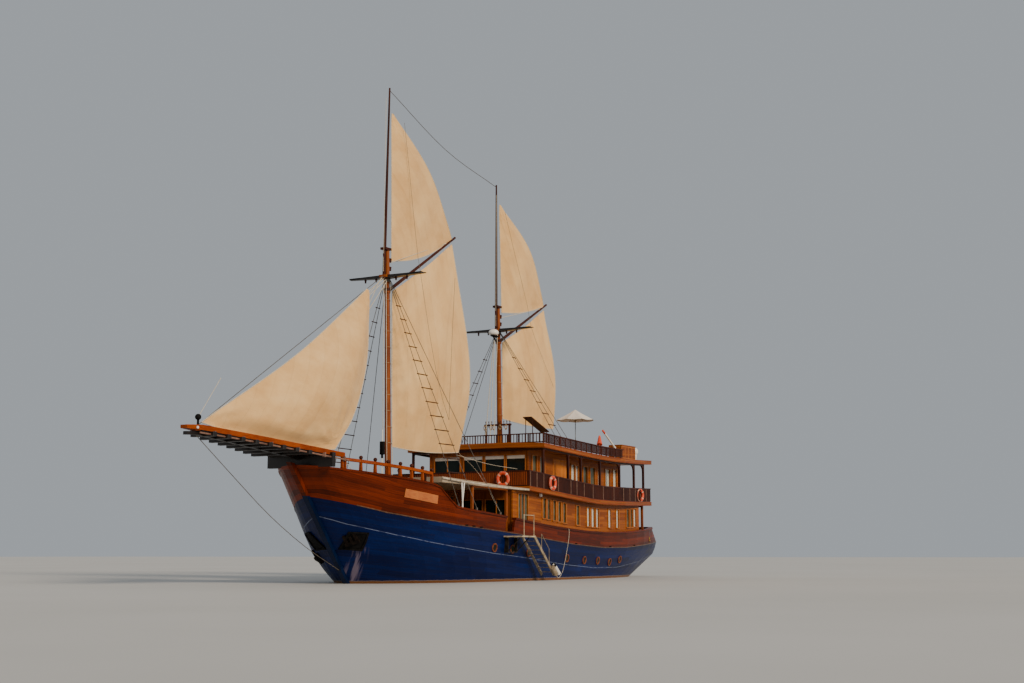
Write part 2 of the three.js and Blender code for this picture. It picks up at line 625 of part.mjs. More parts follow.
const upperInner = UPPER.half - WALL - SEAT;
const FRONT_WINDOWS = [
  [1650, 2700, 850, 1780], [400, 1500, 850, 1780], [-850, 250, 850, 1780], [-2600, -1100, 850, 1780],
];
addNode('upper_house_front', crossWall(
  UPPER.front - WALL - 30, UPPER.front - 30, upperInner, upperDeckZ, roofZ, FRONT_WINDOWS), VARNISH);
addNode('upper_house_aft', crossWall(
  UPPER.aft + 30, UPPER.aft + 30 + WALL, upperInner, upperDeckZ, roofZ, [
    [-1100, 1100, 0, DOOR.height],
  ]), TEAK);

// Roof over the upper deckhouse and its side walks
const ROOF = { front: 1900, aft: -12600, thick: 230, crown: 90 };
function buildRoof() {
  const xs = knotsIn(ROOF_UNDERSIDE, ROOF.aft, ROOF.front);
  const places = [...xs.filter((x) => x < UPPER.front), UPPER.front + 20, ROOF.front]
    .map((x) => [x, halfAt(x), roofZ(x), x === ROOF.front ? 60 : 0]);
  return deckSlab(places, roofZ, ROOF.thick, ROOF.crown);
}
const roof = buildRoof();
addNode('roof', roof, TEAK);
const roofTopZ = (x) => roofZ(x) + ROOF.thick;

// A rail swept along a plan path, open or closed; its heights are measured from the floor line
function sweptRail(path, floorZ, section, endless = false) {
  const count = path.length;
  const normalOf = ([ax, ay], [bx, by]) => {
    const length = Math.hypot(bx - ax, by - ay);
    return [(ay - by) / length, (bx - ax) / length];
  };
  const rings = path.map(([x, y], i) => {
    const before = i > 0 || endless ? path[(i + count - 1) % count] : null;
    const after = i < count - 1 || endless ? path[(i + 1) % count] : null;
    const n0 = before ? normalOf(before, [x, y]) : normalOf([x, y], after);
    const n1 = after ? normalOf([x, y], after) : n0;
    const sum = [n0[0] + n1[0], n0[1] + n1[1]];
    const scale = 2 / (sum[0] ** 2 + sum[1] ** 2);
    return section.map(([offset, height]) => [
      x + sum[0] * scale * offset, y + sum[1] * scale * offset, floorZ(x) + height]);
  });
  return loft(rings, endless, ([x, y, z]) => [x + y, z]);
}

// Life rings hang on the outside of the balustrade
const LIFE_RING = { radius: 285, tube: 75, sunk: 6 };
function lifeRing(x, y, floor, turn) {
  const geometry = new THREE.TorusGeometry(LIFE_RING.radius, LIFE_RING.tube, 8, 20);
  geometry.rotateX(Math.PI / 2);
  geometry.translate(0, LIFE_RING.tube - LIFE_RING.sunk, LIFE_RING.radius + LIFE_RING.tube + 12);
  geometry.rotateZ(turn);
  geometry.translate(x, y, floor);
  return solid(geometry);
}

// Upper deck balustrade: slatted panels with a cap rail, round the whole deck edge
const BALUSTRADE = { inset: 70, height: 780, panel: 20, cap: 50, capHeight: 55 };
function buildBalustrade() {
  const { inset, height, panel, cap, capHeight } = BALUSTRADE;
  const section = [
    [-panel, -30], [panel, -30], [panel, height - capHeight], [cap, height - capHeight],
    [cap, height], [-cap, height], [-cap, height - capHeight], [-panel, height - capHeight],
  ];
  const xs = knotsIn(CEILING, UPPER_DECK.aft + inset, UPPER_DECK.front - inset);
  const along = xs.map((x) => [x, halfAt(x) - inset]);
  const path = [...along, ...along.map(([x, y]) => [x, -y]).reverse()];
  const portRing = (x) => {
    const slope = Math.atan2(halfAt(x + 300) - halfAt(x - 300), 600);
    return lifeRing(x, halfAt(x) - inset + panel / Math.cos(slope), upperDeckZ(x), slope);
  };
  const frontRing = lifeRing(UPPER_DECK.front - inset + panel, 2540, upperDeckZ(UPPER_DECK.front), -Math.PI / 2);
  return joined([
    seated(sweptRail(path, upperDeckZ, section, true), upperDeck), frontRing, portRing(1030), portRing(-10400),
  ]);
}
addNode('upper_rail', buildBalustrade(), DARK_WOOD);

// Posts at [x, y] on both sides, with beams along [x, y] lines under the ceiling that join them
function pillars(places, size, floor, floorZ, ceiling, topZ, lines) {
  const half = size / 2;
  const posts = places.flatMap(([x, y]) => [1, -1].map((side) => box(
    x - half, x + half, side * y - half, side * y + half, floorZ(x) - 60, topZ(x) + 60)));
  const beam = [[-half, -HEADER], [half, -HEADER], [half, 60], [-half, 60]];
  const headers = lines.map((line) => sweptRail(line, topZ, beam));
  return seated(joined([...posts, ...headers]), floor, ceiling);
}
const HEADER = 80;
const ROOF_POST = { size: 110, inset: 200, places: [1650, -1140, -2630, -4980, -7530, -9900, -11600] };
const roofPostY = (x) => halfAt(x) - ROOF_POST.inset;
const roofPosts = ROOF_POST.places.map((x) => [x, roofPostY(x)]);
const portHeader = knotsIn(ROOF_UNDERSIDE, -11600, 1650).map((x) => [x, roofPostY(x)]);
const roofHeader = [...portHeader, ...portHeader.map(([x, y]) => [x, -y]).reverse()];
addNode('roof_posts', pillars(
  roofPosts, ROOF_POST.size, upperDeck, upperDeckZ, roof, roofZ, [roofHeader]), DARK_WOOD);
addNode('aft_deck_posts', pillars(
  [[-11900, 3250]], 120, hull, deckZ, upperDeck, ceilingZ, [[[-11900, -3250], [-11900, 3250]]]), VARNISH);
addNode('awning_posts', pillars([[4750, 3415], [7600, 3195]], 110, hull, deckZ, awning, ceilingZ,
  [[[7600, -3195], [4750, -3415], [4750, 3415], [7600, 3195]]]), VARNISH);

// Roof rail: a handrail on uprights along the front and both sides
const ROOF_RAIL = { inset: 110, height: 520, aft: -7900, step: 620, half: 45, post: 25 };
function buildRoofRail() {
  const front = ROOF.front - ROOF_RAIL.inset;
  const along = knotsIn(ROOF_UNDERSIDE, ROOF_RAIL.aft, front).map((x) => [x, halfAt(x) - ROOF_RAIL.inset]);
  const path = [...along, ...along.map(([x, y]) => [x, -y]).reverse()];
  const { height, half } = ROOF_RAIL;
  const bar = sweptRail(path, roofTopZ, [
    [-half, height - 50], [half, height - 50], [half, height], [-half, height]]);
  const feet = [];
  for (let x = front; x > ROOF_RAIL.aft + 100; x -= ROOF_RAIL.step) {
    feet.push([x, halfAt(x) - ROOF_RAIL.inset], [x, ROOF_RAIL.inset - halfAt(x)]);
  }
  for (let y = 0; y < halfAt(front) - 400; y += ROOF_RAIL.step) feet.push([front, y], [front, -y]);
  const thin = ROOF_RAIL.post;
  const posts = feet.map(([x, y]) => box(
    x - thin, x + thin, y - thin, y + thin, roofTopZ(x) - 40, roofTopZ(x) + height - 20));
  return seated(joined([bar, ...posts]), roof);
}
addNode('roof_rail', buildRoofRail(), DARK_WOOD);

// Doors: leaves with a clearance all round, just inside the outer face of the wall.
// Each turns on two barrels that stand just outside the wall; straps join them to the leaf.
const HINGE = { radius: 15, strap: 170, high: 90, places: [0.12, 0.86] };
function doorLeaf(x0, x1, y0, y1, z0, z1, hinge) {
  const parts = [box(x0, x1, y0, y1, z0, z1)];
  for (const place of HINGE.places) {
    const z = z0 + (z1 - z0) * place;
    parts.push(rod([...hinge.at, z], [...hinge.at, z + HINGE.high], HINGE.radius, HINGE.radius, 32));
    parts.push(box(...hinge.strap, z + 5, z + HINGE.high - 5));
  }
  return joined(parts);
}
const cabinFloor = upperDeckZ(CABIN_DOORWAY.x1);
const cabinMiddle = (CABIN_DOORWAY.x0 + CABIN_DOORWAY.x1) / 2;
for (const [name, side] of [['port', 1], ['starboard', -1]]) {
  const outer = UPPER.half - DOOR.inset;
  const axis = UPPER.half + HINGE.radius + SEAT;
  const across = (near, far) => (side > 0 ? [near, far] : [-far, -near]);
  const low = cabinFloor + DOOR.gap;
  const high = cabinFloor + DOOR.height - DOOR.gap;
  for (const [end, hingeX, step] of [['fore', CABIN_DOORWAY.x1, -1], ['aft', CABIN_DOORWAY.x0, 1]]) {
    const x = hingeX + (step * DOOR.gap) / 2;
    const [x0, x1] = [hingeX + step * DOOR.gap, cabinMiddle - (step * DOOR.between) / 2].sort((a, b) => a - b);
    const [s0, s1] = [x, x + step * HINGE.strap].sort((a, b) => a - b);
    addNode(`cabin_door_${end}_${name}`, doorLeaf(x0, x1, ...across(outer - DOOR.thick, outer), low, high, {
      at: [x, side * axis], strap: [s0, s1, ...across(outer - 5, axis)],
    }), SHUTTER);
  }
}
const SALOON_FACE = LOWER.front - 30;
// The saloon door stands on a raised sill, because the deck rises ahead of it
const saloonFloor = Math.max(deckZ(SALOON_FACE), deckZ(SALOON_FACE - WALL)) + DOOR.sill;
const saloonHalf = DOOR.width / 2 - DOOR.gap;
const saloonAxis = [SALOON_FACE + HINGE.radius + SEAT, (DOOR.width - DOOR.gap) / 2];
addNode('saloon_door', doorLeaf(
  SALOON_FACE - DOOR.inset - DOOR.thick, SALOON_FACE - DOOR.inset, -saloonHalf, saloonHalf,
  saloonFloor + DOOR.gap, saloonFloor + DOOR.height - DOOR.gap, {
    at: saloonAxis,
    strap: [SALOON_FACE - DOOR.inset - 5, saloonAxis[0], saloonAxis[1] - HINGE.strap, saloonAxis[1]],
  }), TEAK);

// Masts lean forward: what is built upright at the origin is leant and moved to the mast's place
function leaning(m, body) {
  const geometry = geometryOf(body);
  geometry.rotateY(MAST_RAKE);
  geometry.translate(m.x, 0, 0);
  return solid(geometry);
}
function leaningPoint(m, x, y, z) {
  return new THREE.Vector3(x, y, z).applyAxisAngle(new THREE.Vector3(0, 1, 0), MAST_RAKE)
    .add(new THREE.Vector3(m.x, 0, 0)).toArray();
}

// A sail between a luff and a leech, each a list of [x, y, z] from foot to head.
// It bellies to port, and its foot droops between the two lower corners.
const SAIL = { thick: 36, rows: 8, columns: 6 };
function sail(luff, leech, belly, droop) {
  const last = luff.length - 1;
  const rings = luff.map((a, row) => {
    const from = new THREE.Vector3(...a);
    const to = new THREE.Vector3(...leech[row]);
    const depth = belly * Math.sin((Math.PI * row) / last) ** 0.7;
    const hang = droop * (1 - row / last) ** 3;
    const points = Array.from({ length: SAIL.columns + 1 }, (_, i) => {
      const point = from.clone().lerp(to, i / SAIL.columns);
      const middle = Math.sin((Math.PI * i) / SAIL.columns);
      return [point.x, point.y + depth * middle, point.z - hang * middle];
    });
    return [
      ...points.map(([x, y, z]) => [x, y - SAIL.thick / 2, z]),
      ...points.reverse().map(([x, y, z]) => [x, y + SAIL.thick / 2, z]),
    ];
  });
  return loft(rings, false, ([x, y]) => [x, y]);
}

function spacedLine(points) {
  const curve = new THREE.CatmullRomCurve3(points.map((p) => new THREE.Vector3(...p)));
  return Array.from({ length: SAIL.rows + 1 }, (_, i) => curve.getPoint(i / SAIL.rows).toArray());
}

// The masts' own sizes, upright at the origin: heights along the mast, x fore and aft of its axis
const FORE = {
  name: 'fore', x: 9640, radius: 165, headRadius: 108, hounds: 14050, cap: 15300,
  topmast: { heel: 275, head: -260, top: 23190 },
  jaw: 13450, gaffEnd: [-6210, 16950],
  tack: [-340, 6160], clew: [-6230, 6090], leech: [-6150, 820, 9700], belly: 300, droop: 120,
  topHead: [-430, 22000], topFoot: [-340, 14850], topClew: [-5900, 16980],
  topLeech: { along: 0.56, out: 200, up: 200 }, topBelly: 160, topDroop: 400,
};
const MIZZEN = {
  name: 'mizzen', x: -990, radius: 150, headRadius: 100, hounds: 13000, cap: 14200,
  topmast: { heel: 230, head: 15, top: 20870 },
  jaw: 12450, gaffEnd: [-5630, 15080],
  tack: [-330, 8340], clew: [-6100, 8070], leech: [-6050, 260, 11000], belly: 230, droop: 80,
  topHead: [-300, 19850], topFoot: [-360, 14000], topClew: [-5300, 15010],
  topLeech: { along: 0.6, out: 230, up: 300 }, topBelly: 160, topDroop: 160,
};
const MAST_SIDES = 16;
const TOPMAST = { heel: 78, head: 42, sides: 10 };
const CROSSTREE = { reach: 2000, half: 55, apart: 170, plate: 110, thin: 30, ahead: 120 };
const COLLAR = { half: 60, wall: 60, play: 10 };
const GAFF = { jaw: 85, end: 55 };
const HEAD_GAP = { throat: 160, peak: 210 };   // how far a gaff sail's head hangs below its spar

function mastRod(m, from, grow) {
  return rod([0, 0, from], [0, 0, m.cap + grow], m.radius + grow, m.headRadius + grow, MAST_SIDES);
}
function radiusAt(m, from, z) {
  return m.radius + ((m.headRadius - m.radius) * (z - from)) / (m.cap - from);
}
function topmastRod(m, grow) {
  const { heel, head, top } = m.topmast;
  const whole = rod([heel, 0, m.hounds + 40], [head, 0, top + grow], TOPMAST.heel + grow, TOPMAST.head + grow,
    TOPMAST.sides);
  return whole.subtract(box(heel - 200, heel + 200, -200, 200, m.hounds, m.hounds + 60));
}
function gaffSpar(m, inner, grow) {
  return rod([-inner - 30, 0, m.jaw], [m.gaffEnd[0] - grow, 0, m.gaffEnd[1]], GAFF.jaw + grow, GAFF.end + grow, 10);
}

// Columns of a shroud's foot: x, y and z where it ends on the rail or on the roof
const SHROUD = { radius: 15, ring: 40, low: 230, high: 110, foot: [45, 30, 120] };

// Lower mast with the gaff's rest and the crosstrees: a plate with two long arms
function buildMast(m, floor, from) {
  const restRadius = radiusAt(m, from, m.jaw) + 45;
  const rest = rod([0, 0, m.jaw - 160], [0, 0, m.jaw - COLLAR.half - SEAT], restRadius, restRadius, MAST_SIDES);
  const high = m.hounds + 60 - SEAT;
  const low = high - CROSSTREE.plate;
  const ahead = m.topmast.heel;
  const plate = box(-230, ahead + CROSSTREE.ahead, -200, 200, low, high);
  const { reach, half, apart, thin } = CROSSTREE;
  const arms = [-apart, apart].map((x) => frontPlate([
    [-reach, high - thin], [-250, low], [250, low], [reach, high - thin], [reach, high], [-reach, high],
  ], x - half, x + half));
  const mast = joined([mastRod(m, from, 0), rest, plate, ...arms]);
  addNode(`${m.name}_mast`, seated(leaning(m, mast), floor), VARNISH, group, 0.45);

  // The topmast stands in front of the masthead, on the crosstrees and through the cap
  const capBlock = box(-150, ahead + 80, -150, 150, m.cap + SEAT, m.cap + 110);
  addNode(`${m.name}_topmast`, leaning(m, topmastRod(m, 0).add(capBlock)), DARK_WOOD);
}

// The gaff: a collar round the mast above its rest, and a tapered spar with the sails on it
function buildGaff(m, from) {
  const inner = radiusAt(m, from, m.jaw) + COLLAR.play;
  const outer = inner + COLLAR.wall;
  const collar = rod([0, 0, m.jaw - COLLAR.half], [0, 0, m.jaw + COLLAR.half], outer, outer, MAST_SIDES);
  const bore = rod([0, 0, m.jaw - 300], [0, 0, m.jaw + 300], inner, inner, MAST_SIDES);
  addNode(`${m.name}_gaff`, leaning(m, collar.add(gaffSpar(m, inner, 0)).subtract(bore)), DARK_WOOD);

  const slope = (m.gaffEnd[1] - m.jaw) / (m.gaffEnd[0] + inner + 30);
  const along = (x) => m.jaw + slope * (x + inner + 30);
  const cut = gaffSpar(m, inner, SEAT);
  const throat = [-420, 0, along(-420) - HEAD_GAP.throat];
  const peak = [m.gaffEnd[0] + 320, 0, along(m.gaffEnd[0] + 320) - HEAD_GAP.peak];
  const luff = spacedLine([[m.tack[0], 0, m.tack[1]], [-370, 0, (m.tack[1] + throat[2]) / 2], throat]);
  const leech = spacedLine([[m.clew[0], 60, m.clew[1]], m.leech, peak]);
  const gaffSail = sail(luff, leech, m.belly, m.droop).subtract(cut);
  addNode(`${m.name}_gaff_sail`, leaning(m, gaffSail), CANVAS, group, 0.9);

  const { along: part, out, up } = m.topLeech;
  const middle = [(m.topClew[0] + m.topHead[0]) * part, out, (m.topClew[1] + m.topHead[1]) / 2 + up];
  const topLuff = spacedLine([[m.topFoot[0], 0, m.topFoot[1]], [m.topHead[0], 0, m.topHead[1]]]);
  const topLeech = spacedLine([
    [m.topClew[0], 0, along(m.topClew[0]) + 20], middle, [m.topHead[0] - 130, 0, m.topHead[1]]]);
  const topsail = sail(topLuff, topLeech, m.topBelly, m.topDroop).subtract(cut);
  addNode(`${m.name}_topsail`, leaning(m, topsail), CANVAS, group, 0.9);
}

// Shrouds: wires from a ring round the masthead down to blocks that stand at [x, y] on both sides
function buildShrouds(m, from, feet, floor) {
  const ring = radiusAt(m, from, m.hounds - SHROUD.low) + SEAT;
  const [low, high] = [m.hounds - SHROUD.low, m.hounds - SHROUD.high];
  const band = rod([0, 0, low], [0, 0, high], ring + SHROUD.ring, ring + SHROUD.ring, MAST_SIDES)
    .subtract(rod([0, 0, low - 50], [0, 0, high + 50], ring, ring, MAST_SIDES));
  const parts = [leaning(m, band)];
  const blocks = [];
  for (const side of [1, -1]) {
    feet.forEach(([x, y, z], i) => {
      const top = leaningPoint(m, 60 - 60 * i, side * (ring + 22), (low + high) / 2);
      parts.push(rod([x, side * y, z + SHROUD.foot[2] - 20], top, SHROUD.radius, SHROUD.radius, 5));
      const [a, b, c] = SHROUD.foot;
      blocks.push(box(x - a, x + a, side * y - b, side * y + b, z - 25, z + c));
    });
  }
  return joined([...parts, seated(joined(blocks), floor)]);
}

const foreFrom = deckZ(FORE.x) - 80;
const mizzenFrom = roofTopZ(MIZZEN.x);
buildMast(FORE, hull, foreFrom);
buildGaff(FORE, foreFrom);
buildMast(MIZZEN, roof, mizzenFrom);
buildGaff(MIZZEN, mizzenFrom);

const mastHole = leaning(FORE, rod([0, 0, foreFrom], [0, 0, 6000], FORE.radius + 45, FORE.radius + 45, MAST_SIDES));
addNode('awning_deck', awning.subtract(mastHole), WHITE);

const onRail = (x) => {
  const { railY, top } = edgeAt(uForRail(x));
  return [x, railY - 45, top];
};
const foreFeet = [9650, 8240, 6170].map(onRail);
const mizzenFeet = [-900, -1700, -2500].map((x) => [x, 3520, roofTopZ(x)]);
addNode('fore_shrouds', buildShrouds(FORE, foreFrom, foreFeet, bulwarks), STEEL);
addNode('mizzen_shrouds', buildShrouds(MIZZEN, mizzenFrom, mizzenFeet, roof), STEEL);

// Stays: forestay and bobstay at the bowsprit, and one from masthead to masthead
const STAY = { radius: 15, top: [10400, 0, 14040], foot: [23430, 0, 5740], sag: 450 };
const BOBSTAY = { x: 23050, route: [[20480, 0, 4130], [18420, 0, 2840], [16000, 0, 1600], [13330, 0, 520]] };
const stayZ = (x) => heightAt([[STAY.top[0], STAY.top[2]], [STAY.foot[0], STAY.foot[2]]], x);
const forestay = (grow) => rod(STAY.foot, STAY.top, STAY.radius + grow, STAY.radius + grow, 6);

// A round cable along a smooth curve through points
function cable(points, radius, steps, sides = 6) {
  const curve = new THREE.CatmullRomCurve3(points.map((p) => new THREE.Vector3(...p)));
  const section = new THREE.Shape(Array.from({ length: sides }, (_, i) => {
    const angle = (2 * Math.PI * i) / sides;
    return new THREE.Vector2(radius * Math.cos(angle), radius * Math.sin(angle));
  }));
  return solid(new THREE.ExtrudeGeometry(section, { steps, extrudePath: curve, bevelEnabled: false }));
}

function buildForestay() {
  const head = FORE.hounds + 60;
  const plate = box(-230, FORE.topmast.heel + CROSSTREE.ahead + SEAT, -200, 200, head - 2 * CROSSTREE.plate, head);
  return forestay(0).subtract(moved(spritPlanks, 0, 0, SEAT)).subtract(leaning(FORE, plate));
}
addNode('forestay', buildForestay(), STEEL);

function buildBobstay() {
  const sparZ = spritAt(BOBSTAY.x).z - SPRIT_BEAM.height - SPRIT_SPAR.drop - SPRIT_SPAR.thick / 2;
  const chain = cable([[BOBSTAY.x, 0, sparZ], ...BOBSTAY.route], STAY.radius, 12);
  return clearOf(clearOf(chain, spritPlanks), stem);
}
addNode('bobstay', buildBobstay(), STEEL);

function buildTriaticStay() {
  const [from, to] = [FORE, MIZZEN].map((m) => leaningPoint(m, m.topmast.head, 0, m.topmast.top - 120));
  const middle = [(from[0] + to[0]) / 2, 0, (from[2] + to[2]) / 2 - STAY.sag];
  return cable([from, middle, to], STAY.radius, 10)
    .subtract(leaning(FORE, topmastRod(FORE, SEAT))).subtract(leaning(MIZZEN, topmastRod(MIZZEN, SEAT)));
}
addNode('triatic_stay', buildTriaticStay(), STEEL);

// Jib on the forestay, with its clew to port and a deep belly
const JIB = { tackX: 22650, headX: 11700, clew: [14600, 450, 5700], belly: 620, droop: 360 };
function buildJib() {
  const [tack, head] = [JIB.tackX, JIB.headX].map((x) => [x, 0, stayZ(x)]);
  const luff = spacedLine([tack, [17150, 350, 9560], head]);
  const leech = spacedLine([JIB.clew, [13350, 500, 7250], [12330, 450, 9600], [JIB.headX - 160, 0, head[2] - 60]]);
  return sail(luff, leech, JIB.belly, JIB.droop).subtract(forestay(SEAT));
}
addNode('jib', buildJib(), CANVAS, group, 0.9);

// Rudder on its stock, between the hull and the sole piece, and the propeller ahead of it
const STOCK = { radius: 80, half: 45 };
const RUDDER_HEEL = SOLE - KEEL_DEPTH + SEAT;
const rudderHead = keelZ(RUDDER_X + STOCK.radius) - SEAT;
const blade = sidePlate([
  [RUDDER_X + 60, RUDDER_HEEL + 60], [RUDDER_X + 60, rudderHead - 160], [RUDDER_X - 700, rudderHead - 20],
  [RUDDER_X - 1050, rudderHead - 120], [RUDDER_X - 950, RUDDER_HEEL + 60],
], -STOCK.half, STOCK.half);
const stock = rod([RUDDER_X, 0, RUDDER_HEEL], [RUDDER_X, 0, rudderHead], STOCK.radius, STOCK.radius, 12);
addNode('rudder', blade.add(stock), NAVY);

const SHAFT = { z: -1650, radius: 560, hub: 130, length: 420, blades: 4, twist: 0.6 };
function buildPropeller() {
  const x0 = STERNPOST_X - SEAT;
  const parts = [rod([x0, 0, SHAFT.z], [x0 - SHAFT.length, 0, SHAFT.z], SHAFT.hub, SHAFT.hub * 0.7, 12)];
  for (let i = 0; i < SHAFT.blades; i += 1) {
    const geometry = new THREE.BoxGeometry(40, 300, SHAFT.radius - 60);
    geometry.translate(0, 0, (SHAFT.radius + 60) / 2);
    geometry.rotateZ(SHAFT.twist);
    geometry.rotateX((2 * Math.PI * i) / SHAFT.blades + Math.PI / 4);
    geometry.translate(x0 - SHAFT.length / 2, 0, SHAFT.z);
    parts.push(solid(geometry));
  }
  return joined(parts);
}
addNode('propeller', buildPropeller(), BRONZE, group, 0.4, 0.8);

// Anchors lie against the bow, each with its crown below and two flukes up
const ANCHOR = { crown: 330, fluke: 230 };
function anchor(side, { u: along, height }) {
  const at = (u, part) => {
    const points = sectionSide(sectionAt(u));
    const rise = points.length - 1 - SIDE_STEPS[3] + part * SIDE_STEPS[3];
    return new THREE.Vector3(...[0, 1, 2].map((k) => smooth(points.map((p) => p[k]), rise)));
  };
  const place = at(along, height);
  const up = at(along, height + 0.1).sub(at(along, height - 0.1)).normalize();
  const aft = at(along + 0.1, height).sub(at(along - 0.1, height)).normalize();
  const out = new THREE.Vector3().crossVectors(up, aft).normalize();
  if (out.y < 0) out.negate();
  const level = new THREE.Vector3().crossVectors(out, up).normalize();
  for (const vector of [place, up, out, level]) vector.y *= side;
  const frame = new THREE.Matrix4().makeBasis(level, up, out).setPosition(place);
  const part = (u0, u1, v0, v1, n1) => {
    const geometry = new THREE.BoxGeometry(u1 - u0, v1 - v0, n1 + 150);
    geometry.translate((u0 + u1) / 2, (v0 + v1) / 2, (n1 - 150) / 2);
    geometry.applyMatrix4(frame);
    if (frame.determinant() < 0) {
      const turned = geometry.index.array;
      for (let i = 0; i < turned.length; i += 3) [turned[i], turned[i + 1]] = [turned[i + 1], turned[i]];
    }
    return solid(geometry);
  };
  const { crown, fluke } = ANCHOR;
  const whole = joined([
    part(-crown, crown, -70, 70, 110), part(-50, 50, -70, 330, 90),
    part(-fluke - 70, -fluke + 70, 0, 430, 60), part(fluke - 70, fluke + 70, 0, 430, 60),
  ]);
  return whole.subtract(moved(hull, ...out.multiplyScalar(SEAT).toArray()));
}
addNode('anchor_port', anchor(1, { u: 0.92, height: 0.28 }), STEEL);
addNode('anchor_starboard', anchor(-1, { u: 1.45, height: -0.1 }), STEEL);

// Boarding platform outside the gate, on brackets against the hull, with two stanchions and a handrail
const PLATFORM = { x0: 4430, x1: 5750, y1: 4800, z0: 2060, z1: 2120, bar: 25, bracket: 720 };
const BRACKETS = [5600, 4740];
const STANCHION = { height: 1000, inset: 40 };
function buildPlatform() {
  const { x0, x1, y1, z0, z1, bar, bracket } = PLATFORM;
  const inner = 3700;
  const parts = [box(x0, x1, inner, y1, z0, z1)];
  for (const x of BRACKETS) {
    parts.push(box(x - bar, x + bar, inner, 4010, z0 - bracket, z0 + 1));
    parts.push(rod([x, 3960, z0 - bracket + 40], [x, y1 - 120, z0 + 10], bar, bar, 6));
  }
  parts.push(box(BRACKETS[1], BRACKETS[0], 3960, 4010, z0 - bracket, z0 - bracket + 2 * bar));
  const outer = y1 - STANCHION.inset;
  const ends = [x0 + STANCHION.inset, x1 - STANCHION.inset - 250];
  for (const x of ends) parts.push(rod([x, outer, z1 - 10], [x, outer, z1 + STANCHION.height], 20, 20, 8));
  const rail = z1 + STANCHION.height - 40;
  parts.push(rod([ends[0], outer, rail], [ends[1], outer, rail], 18, 18, 8));
  return joined(parts).subtract(moved(hull, 0, SEAT, 0)).subtract(moved(portBulwark, 0, SEAT, 0));
}
addNode('boarding_platform', buildPlatform(), WHITE);

// Boarding ladder: it turns on the platform's aft edge; its foot is a padded bumper
const BUMPER = { radius: 120, from: 0.8, body: 0.99, to: 1.04, tip: 25 };
const LADDER = { x: PLATFORM.x0 - 35.6, z: 2090, foot: [2400, 300], y0: 4080, y1: 4780, steps: 8 };
function buildLadder() {
  const { x, z, foot, y0, y1, steps } = LADDER;
  const run = new THREE.Vector2(foot[0] - x, foot[1] - z);
  const length = run.length();
  const across = new THREE.Vector2(run.y, -run.x).normalize();
  const stringer = (ya, yb) => sidePlate([[-75, 0], [75, 0], [75, length], [-75, length]].map(([side, along]) => [
    x + across.x * side + (run.x * along) / length, z + across.y * side + (run.y * along) / length]), ya, yb);
  const parts = [stringer(y0, y0 + 45), stringer(y1 - 45, y1)];
  for (let i = 1; i <= steps; i += 1) {
    const part = i / (steps + 0.6);
    const [cx, cz] = [x + run.x * part, z + run.y * part];
    parts.push(box(cx - 100, cx + 60, y0 + 20, y1 - 20, cz - 15, cz + 15));
  }
  parts.push(rod([x, y0, z], [x, y1, z], 35, 35, 16));
  const post = y1 - 22;
  const tops = [0.36, 0.75].map((part) => {
    const base = [x + run.x * part, z + run.y * part];
    parts.push(rod([base[0], post, base[1]], [base[0], post, base[1] + 780], 16, 16, 8));
    return [base[0], post, base[1] + 770];
  });
  parts.push(rod(tops[0], tops[1], 14, 14, 8));
  const bumperAt = (part) => [x + run.x * part, y1 + BUMPER.radius - 15, z + run.y * part];
  parts.push(rod(bumperAt(BUMPER.from), bumperAt(BUMPER.body), BUMPER.radius, BUMPER.radius, 12));
  parts.push(rod(bumperAt(BUMPER.body - 0.01), bumperAt(BUMPER.to), BUMPER.radius - 8, BUMPER.tip, 12));
  return joined(parts);
}
addNode('boarding_ladder', buildLadder(), WHITE);

// Slack rope from the bulwark down to the ladder's foot
const ROPE_RADIUS = 12;
const ROPE_ROUTE = [
  [-620, 4064.5, 2515], [-619, 4088, 2514], [-600, 4122, 2460], [-530, 4150, 2290], [-420, 4185, 2060],
  [-200, 4240, 1720], [100, 4315, 1360], [480, 4430, 1010], [900, 4560, 700], [1350, 4700, 430],
  [1700, 4790, 270], [1960, 4845, 175], [2120, 4872, 142], [2215, 4882, 152], [2275.3, 4885, 188.1],
  [2320, 4885, 228.2],
];
addNode('ladder_rope', cable(ROPE_ROUTE, ROPE_RADIUS, 72, 8), ROPE);

// Deck locker on the roof: an open box with a hinged lid
const LOCKER = { x0: -11600, x1: -9700, y0: 2200, y1: 3000, top: 7400, wall: 40, lid: 55 };
function buildLocker() {
  const { x0, x1, y0, y1, top, wall } = LOCKER;
  const whole = box(x0, x1, y0, y1, roofTopZ(x1) - 60, top);
  const inside = box(x0 + wall, x1 - wall, y0 + wall, y1 - wall, roofTopZ(x0) + 90 + wall, top + 50);
  return seated(whole.subtract(inside), roof);
}
addNode('locker', buildLocker(), TEAK);
addNode('locker_lid', box(LOCKER.x0 - 25, LOCKER.x1 + 25, LOCKER.y0, LOCKER.y1 + 30,
  LOCKER.top + SEAT, LOCKER.top + LOCKER.lid), TEAK);

